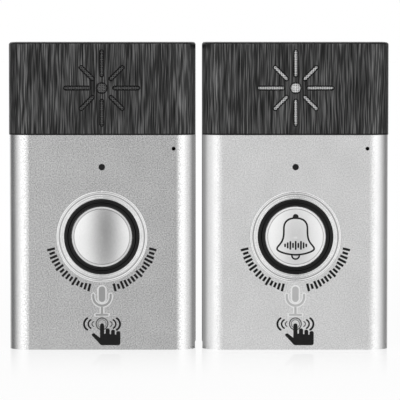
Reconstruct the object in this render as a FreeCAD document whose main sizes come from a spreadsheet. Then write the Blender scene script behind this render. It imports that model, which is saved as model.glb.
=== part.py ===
"""Pair of wireless intercom doorbell units: an outdoor call unit and an indoor answer unit.

Both stand upright side by side. X runs across the pair, the fronts face -Y and Z is up. The
origin is at the middle of the pair, on the surface that it stands on. Each unit is drawn in a
frame of its own, with X zero on its middle, Y zero on the front of its top cap and Z zero at its
base, and is then moved to its place in the pair. All sizes are in millimetres.
"""

import FreeCAD
import Part
import Sketcher
import math
import os
import re

Vector = FreeCAD.Vector
Placement = FreeCAD.Placement
Rotation = FreeCAD.Rotation

# Driving sizes: name, value, what it measures.
SIZES = [
    ("case_width", 58.0, "width of a unit over its top cap"),
    ("case_height", 95.3, "height of a unit"),
    ("cap_height", 28.65, "height of the black top cap"),
    ("corner_radius", 6.4, "upright front corners of the top cap"),
    ("cap_step", 0.15, "how far the cap stands out past the front shell"),
    ("cap_wall", 1.5, "wall of the top cap"),
    ("top_round", 0.8, "rounding of the cap's upper edge"),
    ("shell_wall", 1.5, "wall of the aluminium front shell"),
    ("rear_rim_depth", 5.0, "depth of the rear case that shows at the side"),
    ("rear_wall", 2.0, "back wall of the rear case"),
    ("rim_wall", 2.2, "side walls of the rear case"),
    ("rear_corner", 1.5, "corners of the rear case seen from behind"),
    ("rear_round", 1.4, "rounding of the rear case's back edges"),
    ("lip_length", 1.4, "how far the rear case's lip reaches into the front shell"),
    ("lip_wall", 1.2, "wall of that lip"),
    ("pair_gap", 2.0, "gap between the two units"),
    ("glue_gap", 0.1, "glue line or loose fit between fixed pieces"),
    ("slide_gap", 0.06, "radial clearance of a piece that slides in a hole"),
    ("frame_wall", 1.2, "wall of the inner front frame"),
    ("frame_side", 5.2, "depth of the front frame's side walls"),
    ("floor_thickness", 2.0, "base plate of the front frame"),
    ("button_height", 35.15, "height of the talk button's middle above the base"),
    ("button_radius", 9.45, "talk button cap"),
    ("flange_width", 0.8, "flat ring round the dome of the button"),
    ("flange_groove", 0.15, "groove between that ring and the dome"),
    ("flange_proud", 0.35, "how far that ring stands out of the front shell"),
    ("dome_rise", 1.3, "rise of the dome above that ring"),
    ("button_skin", 0.9, "skin and skirt of the button cap"),
    ("stem_radius", 2.2, "stem under the button cap"),
    ("lip_overhang", 0.8, "retaining lip of the button cap"),
    ("button_lip", 0.6, "thickness of that lip"),
    ("press_travel", 0.5, "travel of the talk button"),
    ("ring_radius", 11.55, "outside of the black button ring"),
    ("ring_edge_proud", 0.4, "edge of the black ring above the front shell"),
    ("ring_rise", 0.35, "crown of each of the black ring's two beads"),
    ("ring_flange", 0.6, "thickness of the black ring's back flange"),
    ("ring_hook", 0.8, "how far that flange hooks behind the front frame"),
    ("ring_recess", 0.8, "depth of the recess for the button's lip"),
    ("bezel_radius", 14.1, "outside of the silver bezel"),
    ("bezel_neck", 1.0, "wall of the bezel's neck"),
    ("bezel_proud", 0.5, "how far the bezel stands out of the front shell"),
    ("bezel_land", 1.3, "width of the bezel's two inner beads"),
    ("bezel_bead", 0.7, "width of the bezel's outer bead"),
    ("bezel_crown", 0.15, "rise of each bead"),
    ("bezel_groove", 0.25, "depth of the groove inside the outer bead"),
    ("burst_drop", 14.1, "middle of the sunburst below the top"),
    ("burst_hole", 1.7, "radius of the sunburst's middle hole"),
    ("slot_width", 1.3, "width of a sunburst slot"),
    ("slot_start", 3.4, "inner end of a slot, from the middle"),
    ("slot_long", 11.8, "outer end of an upright or level slot"),
    ("slot_short", 9.6, "outer end of a slanting slot"),
    ("mesh_overlap", 0.6, "how far the mesh reaches past the longest slot"),
    ("mesh_thickness", 0.15, "speaker mesh"),
    ("led_share", 0.43, "status light, as a share of the way from the bezel to the seam"),
    ("led_hole", 1.0, "radius of the status light's hole"),
    ("pipe_collar", 0.7, "how far the light pipe's collar stands out"),
    ("pipe_gap", 0.2, "gap between the light pipe and the light"),
    ("led_size", 1.6, "width of the status light"),
    ("led_height", 0.8, "thickness of the status light"),
    ("mic_inset", 6.75, "microphone inside the side of the top cap"),
    ("mic_drop", 4.2, "microphone below the seam"),
    ("mic_hole", 0.6, "radius of the microphone hole"),
    ("mic_radius", 2.0, "microphone capsule"),
    ("mic_height", 2.4, "height of the microphone capsule"),
    ("boot_wall", 0.5, "wall of the microphone's rubber boot"),
    ("snout_radius", 1.0, "rubber snout between boot and front shell"),
    ("standoff_length", 3.45, "front frame to circuit board"),
    ("standoff_radius", 2.0, "post that carries the circuit board"),
    ("board_thickness", 1.0, "circuit board"),
    ("board_margin", 5.0, "edge of the circuit board inside the case"),
    ("board_clear", 0.8, "shoulders of the board above the lower screw posts"),
    ("board_drop", 0.5, "top edge of the board below the seam"),
    ("board_screw_inset", 2.5, "board screws inside the board's side"),
    ("board_screw_rise", 9.8, "lower board screws above the board's shoulders"),
    ("mic_clear", 1.2, "gap between the microphone's boot and the post below it"),
    ("tongue_width", 24.0, "lower tongue of the circuit board"),
    ("board_screw", 0.8, "radius of a board screw"),
    ("board_screw_length", 3.0, "board screw below its head"),
    ("board_screw_head", 1.6, "radius of a board screw's head"),
    ("board_head_height", 1.0, "height of a board screw's head"),
    ("switch_width", 6.0, "push switch body"),
    ("switch_body", 3.1, "height of the push switch body"),
    ("plunger_reach", 1.1, "plunger above the push switch body"),
    ("plunger_radius", 1.7, "plunger of the push switch"),
    ("plunger_seat", 1.3, "plunger inside the push switch body"),
    ("plunger_clear", 0.2, "free depth behind the pressed plunger"),
    ("pad_wall", 0.7, "wall of the button's rubber return pad"),
    ("pad_foot", 6.6, "inner radius of the return pad at the board"),
    ("chip_width", 6.0, "control chip"),
    ("chip_height", 1.0, "thickness of the control chip"),
    ("chip_rise", 2.0, "control chip above the board's shoulders"),
    ("middle_gap", 4.0, "radio and antenna either side of the board's middle"),
    ("radio_width", 14.0, "radio module across"),
    ("radio_tall", 10.0, "radio module upright"),
    ("radio_board", 0.6, "board of the radio module"),
    ("radio_can", 1.6, "shield can of the radio module"),
    ("can_margin", 1.0, "edge of the radio's board round that can"),
    ("radio_drop", 4.5, "radio module below the board's top edge"),
    ("antenna_length", 13.0, "stamped antenna"),
    ("antenna_width", 2.6, "strip of the antenna"),
    ("antenna_strip", 0.3, "thickness of that strip"),
    ("antenna_rise", 2.8, "antenna above the board"),
    ("antenna_drop", 2.0, "antenna below the board's top edge"),
    ("antenna_step", 3.0, "distance between the antenna's two feet"),
    ("speaker_radius", 11.5, "speaker basket"),
    ("speaker_rim", 0.8, "rim of the speaker basket"),
    ("basket_wall", 0.5, "wall of the speaker basket"),
    ("basket_depth", 3.2, "speaker basket, rim to back"),
    ("basket_back", 6.8, "radius of the basket's flat back"),
    ("magnet_radius", 6.0, "speaker magnet"),
    ("magnet_height", 2.3, "height of the speaker magnet"),
    ("cone_thickness", 0.3, "speaker cone"),
    ("cone_neck", 3.0, "inner radius of the speaker cone"),
    ("surround_width", 0.8, "flat surround of the speaker cone"),
    ("dust_cap_rise", 0.6, "rise of the cap in the middle of the cone"),
    ("collar_wall", 0.8, "ring on the front frame that centres the speaker"),
    ("collar_height", 1.6, "height of that ring"),
    ("terminal_width", 6.0, "terminal block on the speaker basket"),
    ("terminal_tall", 2.4, "height of the terminal block"),
    ("lead_radius", 0.35, "speaker lead"),
    ("lead_spacing", 3.0, "distance between the two speaker leads"),
    ("lead_bend", 0.8, "bend radius of a speaker lead"),
    ("lead_clear", 0.3, "gap between a lead and the ring that centres the speaker"),
    ("lead_drop", 3.0, "lower end of the leads below the board's top edge"),
    ("cell_radius", 5.25, "AAA cell"),
    ("cell_length", 44.5, "AAA cell with its nub"),
    ("cell_gap", 0.4, "gap between two cells"),
    ("cell_slack", 0.25, "gap round the cells in their bay"),
    ("nub_radius", 1.9, "positive nub of a cell"),
    ("nub_height", 0.9, "height of that nub"),
    ("bay_low", 10.2, "lower end of the battery bay above the base"),
    ("bay_wall", 1.2, "side walls of the battery bay"),
    ("bay_floor", 1.0, "floor of the battery bay"),
    ("board_back_gap", 1.0, "gap between circuit board and battery bay"),
    ("contact_thickness", 0.4, "battery contact plate"),
    ("contact_width", 7.6, "battery contact plate across"),
    ("spring_length", 3.2, "battery spring under load"),
    ("spring_wire", 0.3, "radius of the spring wire"),
    ("spring_wide", 3.4, "coil radius at the plate"),
    ("spring_narrow", 2.0, "coil radius at the cell"),
    ("spring_turns", 2.5, "turns of a battery spring"),
    ("lid_thickness", 1.6, "battery lid"),
    ("lid_margin", 2.4, "lid past the bay at each side"),
    ("lid_land", 6.6, "lid past the bay at top and bottom"),
    ("lid_gap", 0.15, "gap round the lid"),
    ("lid_corner", 1.5, "corner radius of the lid"),
    ("lid_screw_inset", 3.2, "lid screw from the lid's end"),
    ("ledge_width", 1.6, "ledge of the rear case round the lid"),
    ("ledge_thickness", 1.6, "thickness of that ledge"),
    ("gasket_width", 1.0, "lid gasket"),
    ("gasket_depth", 0.6, "depth of the gasket's groove"),
    ("gasket_inset", 0.7, "gasket inside the lid's edge"),
    ("grip_width", 14.0, "grip lines of the lid"),
    ("grip_depth", 0.4, "depth of a grip line"),
    ("grip_spacing", 2.0, "distance between grip lines"),
    ("grip_line", 0.8, "width of a grip line"),
    ("grip_count", 4, "number of grip lines"),
    ("grip_drop", 7.0, "first grip line below the upper lid screw"),
    ("screw_radius", 1.0, "case and lid screws"),
    ("screw_head", 1.9, "radius of their heads"),
    ("head_height", 1.0, "height of their heads"),
    ("recess_width", 0.5, "blade of the cross recess"),
    ("recess_depth", 0.6, "depth of the cross recess"),
    ("recess_span", 1.2, "length of a recess blade over the radius of its head"),
    ("thread_gap", 0.05, "gap between a screw and its hole"),
    ("hole_end", 0.5, "free hole past the tip of a screw"),
    ("case_screw_length", 12.0, "case screw below its head"),
    ("case_screw_sink", 2.8, "depth of a case screw's counterbore"),
    ("lid_screw_length", 6.0, "lid screw below its head"),
    ("screw_inset", 6.0, "case screws from the side"),
    ("low_screw", 6.4, "lower case screws above the base"),
    ("top_screw", 7.3, "upper case screws below the top"),
    ("post_radius", 2.4, "screw post of the front frame"),
    ("rear_post", 3.2, "screw post of the rear case"),
    ("boss_length", 5.3, "lid screw boss behind the ledge"),
    ("keyhole_spacing", 32.0, "distance between the two keyholes"),
    ("keyhole_drop", 14.0, "keyhole's round entry below the top"),
    ("keyhole_entry", 3.5, "radius of the keyhole's entry"),
    ("keyhole_slot", 3.6, "width of the keyhole's slot"),
    ("keyhole_rise", 5.0, "length of the keyhole's slot"),
    ("keyhole_depth", 2.8, "free depth behind the keyhole"),
    ("keyhole_wall", 1.2, "wall of the pocket behind the keyhole"),
    ("pocket_clear", 0.2, "pocket wider than the entry at each side"),
    ("pocket_corner", 1.5, "corners of that pocket"),
    ("power_drop", 12.4, "power switch below the upper board screws"),
    ("power_length", 9.0, "power switch body, upright"),
    ("power_width", 3.5, "power switch body, across"),
    ("power_depth", 3.4, "power switch body, front to back"),
    ("knob_length", 2.4, "power switch knob, upright"),
    ("knob_thickness", 1.5, "power switch knob, front to back"),
    ("knob_sink", 0.3, "knob below the front shell's side"),
    ("knob_seat", 1.0, "knob inside the switch body"),
    ("knob_travel", 2.0, "travel of the power switch"),
    ("knob_gap", 0.2, "gap round the knob"),
    ("socket_width", 8.94, "charging socket, across"),
    ("socket_thick", 3.16, "charging socket, front to back"),
    ("socket_length", 7.3, "charging socket, upright"),
    ("socket_sink", 0.2, "socket mouth above the base"),
    ("socket_wall", 0.3, "shell of the charging socket"),
    ("tongue_thick", 0.7, "tongue inside the charging socket"),
    ("tongue_across", 6.0, "width of that tongue"),
    ("tongue_sink", 1.0, "tongue behind the mouth of the socket"),
]

# Places and sizes that follow from the driving ones: name, formula.
PLACES = [
    ("half_width", "case_width / 2"),
    ("unit_pitch", "case_width + pair_gap"),
    ("seam_height", "case_height - cap_height"),
    ("face", "cap_step"),
    ("shell_half", "half_width - cap_step"),
    ("shell_corner", "corner_radius - cap_step"),
    ("shell_inside", "face + shell_wall"),
    ("shell_inner_half", "shell_half - shell_wall"),
    ("frame_front", "shell_inside + glue_gap"),
    ("frame_half", "shell_inner_half - glue_gap"),
    ("frame_corner", "shell_corner - shell_wall - glue_gap"),
    ("frame_back", "frame_front + frame_wall"),
    ("frame_top", "case_height - cap_wall - glue_gap"),
    ("board_front", "frame_back + standoff_length"),
    ("board_back", "board_front + board_thickness"),
    ("board_half", "half_width - board_margin"),
    ("board_low", "low_screw + post_radius + board_clear"),
    ("board_top", "seam_height - board_drop"),
    ("bay_front", "board_back + board_back_gap"),
    ("bay_inside", "bay_front + bay_floor"),
    ("cell_depth", "bay_inside + cell_slack + cell_radius"),
    ("cell_pitch", "2 * cell_radius + cell_gap"),
    ("lid_inside", "cell_depth + cell_radius + cell_slack"),
    ("case_depth", "lid_inside + lid_thickness"),
    ("parting", "case_depth - rear_rim_depth"),
    ("back_inside", "case_depth - rear_wall"),
    ("bay_half", "cell_pitch + cell_radius + cell_slack"),
    ("bay_length", "cell_length + spring_length + 2 * contact_thickness"),
    ("bay_top", "bay_low + bay_length"),
    ("lid_half", "bay_half + lid_margin"),
    ("lid_low", "bay_low - lid_land"),
    ("lid_top", "bay_top + lid_land"),
    ("ledge_front", "lid_inside - ledge_thickness"),
    ("low_lid_screw", "lid_low + lid_screw_inset"),
    ("top_lid_screw", "lid_top - lid_screw_inset"),
    ("screw_across", "half_width - screw_inset"),
    ("top_case_screw", "case_height - top_screw"),
    ("case_screw_seat", "case_depth - case_screw_sink"),
    ("case_screw_tip", "case_screw_seat - case_screw_length"),
    ("lid_screw_seat", "case_depth - head_height - glue_gap"),
    ("lid_screw_tip", "lid_screw_seat - lid_screw_length"),
    ("post_end", "parting - lip_length - 2 * glue_gap"),
    ("rear_post_front", "post_end + glue_gap"),
    ("hole_radius", "screw_radius + thread_gap"),
    ("bezel_inner", "ring_radius + glue_gap"),
    ("bezel_outer", "bezel_inner + bezel_neck"),
    ("neck_hole", "bezel_outer + glue_gap"),
    ("bezel_face", "face - bezel_proud"),
    ("bezel_edge", "bezel_face + bezel_crown"),
    ("bezel_middle", "bezel_inner + bezel_land / 2"),
    ("ring_edge", "face - ring_edge_proud"),
    ("button_bore", "button_radius + slide_gap"),
    ("ring_middle", "(ring_radius + button_bore) / 2"),
    ("lip_radius", "button_radius + lip_overhang"),
    ("lip_seat", "frame_back - ring_recess"),
    ("lip_front", "lip_seat + slide_gap"),
    ("lip_back", "lip_front + button_lip"),
    ("ring_back", "frame_back + ring_flange"),
    ("button_face", "face - flange_proud"),
    ("crown", "button_face - dome_rise"),
    ("dome_radius", "button_radius - flange_width"),
    ("dome_curve", "(dome_radius^2 + dome_rise^2) / (2 * dome_rise)"),
    ("half_chord", "sqrt(dome_radius^2 + dome_rise^2) / 2"),
    ("dome_sagitta", "dome_curve - sqrt(dome_curve^2 - half_chord^2)"),
    ("plunger_tip", "board_front - switch_body - plunger_reach"),
    ("plunger_back", "board_front - switch_body + plunger_seat"),
    ("burst_height", "case_height - burst_drop"),
    ("mesh_radius", "slot_long + mesh_overlap"),
    ("speaker_seat", "frame_back"),
    ("speaker_bore", "speaker_radius - speaker_rim"),
    ("basket_end", "speaker_seat + basket_depth"),
    ("bezel_top", "button_height + bezel_radius"),
    ("led_place", "bezel_top + led_share * (seam_height - bezel_top)"),
    ("pipe_radius", "led_hole - glue_gap / 2"),
    ("pipe_collar_radius", "led_hole + pipe_collar"),
    ("pipe_end", "board_front - led_height - pipe_gap"),
    ("mic_across", "half_width - mic_inset"),
    ("mic_place", "seam_height - mic_drop"),
    ("mic_front", "board_front - mic_height"),
    ("boot_radius", "mic_radius + boot_wall"),
    ("boot_front", "mic_front - boot_wall"),
    ("boot_hole", "boot_radius + glue_gap"),
    ("board_screw_across", "board_half - board_screw_inset"),
    ("board_screw_low", "board_low + board_screw_rise"),
    ("board_screw_top", "mic_place - boot_hole - standoff_radius - mic_clear"),
    ("keyhole_place", "case_height - keyhole_drop"),
    ("keyhole_front", "back_inside - keyhole_depth"),
    ("keyhole_cavity", "keyhole_entry + pocket_clear"),
    ("power_height", "board_screw_top - power_drop"),
    ("power_middle", "board_back + power_depth / 2"),
    ("knob_outside", "shell_half - knob_sink"),
    ("terminal_low", "burst_height - speaker_radius + speaker_rim"),
    ("lead_depth", "frame_back + collar_height + lead_clear + lead_radius"),
    ("lead_low", "board_top - lead_drop"),
    ("shift_depth", "(case_depth + crown) / 2"),
]

document = FreeCAD.newDocument("intercom_doorbell")
SHEET_OF = {}
NODES = []


def fill_sheet(label, rows):
    """A sheet with a name, a value or formula and a note in each row."""
    sheet = document.addObject("Spreadsheet::Sheet", label)
    for row, (name, value, note) in enumerate(rows, 1):
        sheet.set(f"A{row}", name)
        sheet.set(f"B{row}", value)
        sheet.set(f"C{row}", note)
        sheet.setAlias(f"B{row}", name)
        SHEET_OF[name] = f"{label}."
    return sheet


def formula(text):
    """The text with each named size led by the sheet that holds it."""
    return re.sub(r"[a-z_]+", lambda word: SHEET_OF.get(word.group(), "") + word.group(), str(text))


def number(text):
    """What a formula of named sizes comes to."""
    return float(sizes.evalExpression(formula(text)))


def bind(thing, **formulas):
    """Ties properties to formulas; a double underscore stands for the dot of a path."""
    for path, text in formulas.items():
        thing.setExpression(path.replace("__", "."), formula(text))


sizes = fill_sheet("sizes", [(name, str(value), note) for name, value, note in SIZES])
document.recompute()
for name, _ in PLACES:
    SHEET_OF[name] = "places."
places = fill_sheet("places", [(name, "=" + formula(text), text) for name, text in PLACES])
document.recompute()


# Sketches

def sketch(body, role, across, up, out):
    """A sketch on one of the body's origin planes, its own origin moved by the three formulas."""
    drawing = body.newObject("Sketcher::SketchObject", f"{body.Name}_sketch")
    plane = next(part for part in body.Origin.OriginFeatures if part.Role == role)
    drawing.AttachmentSupport = (plane, [""])
    drawing.MapMode = "FlatFace"
    bind(drawing, AttachmentOffset__Base__x=across, AttachmentOffset__Base__y=up,
         AttachmentOffset__Base__z=out)
    return drawing


def front_sketch(body, depth, across="0", height="0"):
    """A sketch seen from the front, at a depth behind the front of the cap."""
    return sketch(body, "XZ_Plane", across, height, f"-({depth})")


def plan_sketch(body, height, across="0", depth="0"):
    """A sketch seen from above, at a height above the base."""
    return sketch(body, "XY_Plane", across, depth, height)


def side_sketch(body, across):
    """A sketch seen from the side: its X is the depth and its Y the height."""
    return sketch(body, "YZ_Plane", "0", "0", across)


def pin(drawing, geometry, point, across, up):
    """Holds a point of a sketch at two formulas."""
    spot = drawing.getPoint(geometry, point)
    for kind, start, text in (("DistanceX", spot.x, across), ("DistanceY", spot.y, up)):
        row = drawing.addConstraint(Sketcher.Constraint(kind, -1, 1, geometry, point, start))
        drawing.setExpression(f"Constraints[{row}]", formula(text))


def circle(drawing, radius, across="0", up="0"):
    """A circle with its middle and radius tied to formulas."""
    middle = Vector(number(across), number(up), 0)
    item = drawing.addGeometry(Part.Circle(middle, Vector(0, 0, 1), number(radius)))
    pin(drawing, item, 3, across, up)
    row = drawing.addConstraint(Sketcher.Constraint("Radius", item, number(radius)))
    drawing.setExpression(f"Constraints[{row}]", formula(radius))


def round_corner(before, corner, after):
    """The two tangent points of a rounded square corner, as formulas, and the point half way."""
    radius = number(corner[2])
    spots = [Vector(number(item[0]), number(item[1]), 0) for item in (before, corner, after)]
    coming = (spots[1] - spots[0]).normalize()
    going = (spots[2] - spots[1]).normalize()
    start = [f"{corner[k]} - ({corner[2]}) * ({coming[k]:g})" for k in (0, 1)]
    end = [f"{corner[k]} + ({corner[2]}) * ({going[k]:g})" for k in (0, 1)]
    centre = spots[1] - coming * radius + going * radius
    middle = centre + (spots[1] - centre).normalize() * radius
    return start, end, middle


def outline(drawing, corners):
    """A closed outline. A corner is (x, y), or (x, y, radius) where it is square and rounded, or
    (x, y, "bulge", rise) where an arc of that rise runs from it to the next corner, bulging to
    the left of the way round."""
    points = []
    count = len(corners)
    for index, corner in enumerate(corners):
        if len(corner) == 3:
            start, end, middle = round_corner(corners[index - 1], corner, corners[(index + 1) % count])
            points.append((start, ("arc", middle, corner[2])))
            points.append((end, None))
        elif len(corner) == 4:
            points.append((corner[:2], ("bulge", corner[3])))
        else:
            points.append((corner, None))
    spots = [Vector(number(item[0][0]), number(item[0][1]), 0) for item in points]
    ends = []
    for index, (texts, kind) in enumerate(points):
        here, there = spots[index], spots[(index + 1) % len(points)]
        if kind is None:
            item = drawing.addGeometry(Part.LineSegment(here, there))
            ends.append((item, 1, 2))
            continue
        if kind[0] == "arc":
            middle, radius_text = kind[1], kind[2]
        else:
            rise = number(kind[1])
            chord = there - here
            middle = (here + there) * 0.5 + Vector(-chord.y, chord.x, 0).normalize() * rise
            far = points[(index + 1) % len(points)][0]
            square = f"(({far[0]}) - ({texts[0]}))^2 + (({far[1]}) - ({texts[1]}))^2"
            radius_text = f"(({square}) / 4 + ({kind[1]})^2) / (2 * ({kind[1]}))"
        item = drawing.addGeometry(Part.Arc(here, middle, there))
        first = drawing.getPoint(item, 1)
        forward = first.distanceToPoint(here) < first.distanceToPoint(there)
        ends.append((item, 1, 2) if forward else (item, 2, 1))
        row = drawing.addConstraint(Sketcher.Constraint("Radius", item, number(radius_text)))
        drawing.setExpression(f"Constraints[{row}]", formula(radius_text))
    for index, (texts, _) in enumerate(points):
        item, start, _ = ends[index]
        last, _, finish = ends[index - 1]
        drawing.addConstraint(Sketcher.Constraint("Coincident", last, finish, item, start))
        pin(drawing, item, start, texts[0], texts[1])


def rectangle(drawing, left, right, low, top, radius=None):
    """An upright rectangle, with rounded corners where a radius is given."""
    corners = [(left, low), (right, low), (right, top), (left, top)]
    outline(drawing, [corner + (radius,) for corner in corners] if radius else corners)


def slot(drawing, start, end, radius):
    """A slot along the sketch's X axis between two arc centres."""
    first, last, half = number(start), number(end), number(radius)
    near = drawing.addGeometry(Part.LineSegment(Vector(first, -half, 0), Vector(last, -half, 0)))
    far = drawing.addGeometry(Part.LineSegment(Vector(last, half, 0), Vector(first, half, 0)))
    up = Vector(0, 0, 1)
    quarter = math.pi / 2
    right_end = Part.Circle(Vector(last, 0, 0), up, half)
    left_end = Part.Circle(Vector(first, 0, 0), up, half)
    right = drawing.addGeometry(Part.ArcOfCircle(right_end, -quarter, quarter))
    left = drawing.addGeometry(Part.ArcOfCircle(left_end, quarter, 3 * quarter))
    for one, two in ((near, right), (right, far), (far, left), (left, near)):
        drawing.addConstraint(Sketcher.Constraint("Coincident", one, 2, two, 1))
    pin(drawing, near, 1, start, f"-({radius})")
    pin(drawing, near, 2, end, f"-({radius})")
    pin(drawing, far, 1, end, radius)
    pin(drawing, far, 2, start, radius)
    for item, text in ((right, end), (left, start)):
        row = drawing.addConstraint(Sketcher.Constraint("DistanceX", -1, 1, item, 3, number(text)))
        drawing.setExpression(f"Constraints[{row}]", formula(text))


# Features

def new_body(unit, piece):
    """A body for one sub-part of a unit."""
    body = document.addObject("PartDesign::Body", f"{unit}_{piece}_body")
    body.AllowCompound = True
    return body


def is_front(drawing):
    return drawing.AttachmentSupport[0][0].Role == "XZ_Plane"


def pad(body, drawing, length):
    """Solid from the sketch, towards the back or upwards."""
    feature = body.newObject("PartDesign::Pad", f"{body.Name}_pad")
    feature.Profile = drawing
    feature.Reversed = is_front(drawing)
    bind(feature, Length=length)
    return feature


def cut(body, drawing, length):
    """Pocket from the sketch, towards the back, upwards or to the left."""
    feature = body.newObject("PartDesign::Pocket", f"{body.Name}_cut")
    feature.Profile = drawing
    feature.Reversed = drawing.AttachmentSupport[0][0].Role == "XY_Plane"
    bind(feature, Length=length)
    return feature


def turn(body, drawing):
    """Solid of revolution about the sketch's own upright axis."""
    feature = body.newObject("PartDesign::Revolution", f"{body.Name}_turn")
    feature.Profile = drawing
    feature.ReferenceAxis = (drawing, ["V_Axis"])
    feature.Angle = 360
    return feature


def turned(unit, piece, height, profile, across="0"):
    """A body turned about a line from front to back. The profile is in radius and depth."""
    body = new_body(unit, piece)
    drawing = plan_sketch(body, height, across)
    outline(drawing, profile)
    turn(body, drawing)
    return body


def star(body, feature, drawing, count):
    """Repeats a feature round the sketch's own origin."""
    pattern = body.newObject("PartDesign::PolarPattern", f"{body.Name}_star")
    pattern.Originals = [feature]
    pattern.Axis = (drawing, ["N_Axis"])
    pattern.Angle = 360
    pattern.Occurrences = count
    body.Tip = pattern
    return pattern


def soften(body, test, radius):
    """Rounds the edges of the body's tip whose middle point passes the test."""
    document.recompute()
    base = body.Tip
    names = []
    for index, edge in enumerate(base.Shape.Edges, 1):
        middle = edge.valueAt((edge.FirstParameter + edge.LastParameter) / 2)
        if test(middle):
            names.append(f"Edge{index}")
    feature = body.newObject("PartDesign::Fillet", f"{body.Name}_round")
    feature.Base = (base, names)
    bind(feature, Radius=radius)
    return feature


def block(left, front, low, width, depth, height):
    """A box from its left, front, low corner."""
    box = document.addObject("Part::Box", "block")
    bind(box, Placement__Base__x=left, Placement__Base__y=front, Placement__Base__z=low,
         Length=width, Width=depth, Height=height)
    return box


def rod(across, front, height, radius, length, upright=False):
    """A cylinder that runs to the back from its front end, or upwards from its low end."""
    cylinder = document.addObject("Part::Cylinder", "rod")
    if not upright:
        cylinder.Placement = Placement(Vector(), Rotation(Vector(1, 0, 0), -90))
    bind(cylinder, Placement__Base__x=across, Placement__Base__y=front, Placement__Base__z=height,
         Radius=radius, Height=length)
    return cylinder


def fused(things):
    joined = document.addObject("Part::MultiFuse", "fused")
    joined.Shapes = things
    return joined


def less(base, tool):
    rest = document.addObject("Part::Cut", "less")
    rest.Base = base
    rest.Tool = tool
    return rest


def together(things):
    """Separate solids that share one node."""
    bundle = document.addObject("Part::Compound", "together")
    bundle.Links = things
    return bundle


def place(thing, unit, piece):
    """Names a finished sub-part and moves it to its unit's place in the pair."""
    if thing.TypeId in ("Part::Box", "Part::Cylinder"):
        thing = together([thing])
    side = "+" if unit == "outdoor" else "-"
    thing.Label = f"{unit}_{piece}"
    bind(thing, Placement__Base__x=f"{side}unit_pitch / 2", Placement__Base__y="-shift_depth")
    NODES.append(thing)


# Outlines that several pieces share

def u_section(drawing, half, front, back, radius, wall):
    """The section of a shell that is open at the back, seen from above."""
    inner = f"({half}) - ({wall})"
    inner_front = f"({front}) + ({wall})"
    inner_radius = f"({radius}) - ({wall})"
    outline(drawing, [
        (f"-({half})", back),
        (f"-({half})", front, radius),
        (half, front, radius),
        (half, back),
        (inner, back),
        (inner, inner_front, inner_radius),
        (f"-({inner})", inner_front, inner_radius),
        (f"-({inner})", back),
    ])


def filled_section(drawing, half, front, back, radius):
    """The same section without its hollow."""
    outline(drawing, [
        (f"-({half})", back),
        (f"-({half})", front, radius),
        (half, front, radius),
        (half, back),
    ])


def screw_row(positions, seat, length, radius, head, head_height):
    """Screws with a cross recess, driven in from the back."""
    screws = []
    for across, height in positions:
        shank = rod(across, f"({seat}) - ({length})", height, radius, length)
        cap = rod(across, seat, height, head, head_height)
        recess_front = f"({seat}) + ({head_height}) - recess_depth"
        span = f"({head}) * recess_span"
        level = block(f"({across}) - ({span}) / 2", recess_front, f"({height}) - recess_width / 2",
                      span, "recess_depth", "recess_width")
        upright = block(f"({across}) - recess_width / 2", recess_front, f"({height}) - ({span}) / 2",
                        "recess_width", "recess_depth", span)
        screws.append(less(fused([shank, cap]), fused([level, upright])))
    return together(screws)


CASE_SCREWS = [("-screw_across", "low_screw"), ("screw_across", "low_screw"),
               ("-screw_across", "top_case_screw"), ("screw_across", "top_case_screw")]
BOARD_SCREWS = [("-board_screw_across", "board_screw_low"), ("board_screw_across", "board_screw_low"),
                ("-board_screw_across", "board_screw_top"), ("board_screw_across", "board_screw_top")]
LID_SCREWS = [("0", "low_lid_screw"), ("0", "top_lid_screw")]
KEYHOLES = ["-keyhole_spacing / 2", "keyhole_spacing / 2"]


# Housing

def front_shell(unit):
    """Aluminium front and sides, from the base to the seam."""
    body = new_body(unit, "front_shell")
    section = plan_sketch(body, "0")
    u_section(section, "shell_half", "face", "parting", "shell_corner", "shell_wall")
    pad(body, section, "seam_height")
    holes = front_sketch(body, "0")
    circle(holes, "neck_hole", "0", "button_height")
    circle(holes, "led_hole", "0", "led_place")
    circle(holes, "mic_hole", "mic_across", "mic_place")
    cut(body, holes, "shell_inside + shell_wall / 2")
    if unit == "indoor":
        window = side_sketch(body, "-shell_inner_half + shell_wall / 2")
        rectangle(window, "power_middle - knob_thickness / 2 - knob_gap",
                  "power_middle + knob_thickness / 2 + knob_gap",
                  "power_height - knob_travel / 2 - knob_length / 2 - knob_gap",
                  "power_height + knob_travel / 2 + knob_length / 2 + knob_gap")
        cut(body, window, "2 * shell_wall")
    place(body, unit, "front_shell")


def top_cap(unit):
    """Black cap over the speaker, with its sunburst of slots."""
    body = new_body(unit, "top_cap")
    section = plan_sketch(body, "seam_height")
    u_section(section, "half_width", "0", "parting", "corner_radius", "cap_wall")
    pad(body, section, "cap_height - cap_wall / 2")
    roof = plan_sketch(body, "case_height - cap_wall")
    filled_section(roof, "half_width", "0", "parting", "corner_radius")
    pad(body, roof, "cap_wall")
    top, back = number("case_height"), number("parting")
    soften(body, lambda spot: abs(spot.z - top) < 0.01 and spot.y < back - 0.01, "top_round")
    hole = front_sketch(body, "0", "0", "burst_height")
    circle(hole, "burst_hole")
    cut(body, hole, "cap_wall")
    for turned_by, reach in ((0, "slot_long"), (45, "slot_short")):
        ray = front_sketch(body, "0", "0", "burst_height")
        ray.AttachmentOffset = Placement(ray.AttachmentOffset.Base, Rotation(Vector(0, 0, 1), turned_by))
        slot(ray, "slot_start + slot_width / 2", f"{reach} - slot_width / 2", "slot_width / 2")
        feature = cut(body, ray, "cap_wall")
        star(body, feature, ray, 4)
    place(body, unit, "top_cap")


def speaker_mesh(unit):
    """Woven wire disc behind the slots."""
    mesh = rod("0", "cap_wall", "burst_height", "mesh_radius", "mesh_thickness")
    place(mesh, unit, "speaker_mesh")


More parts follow.
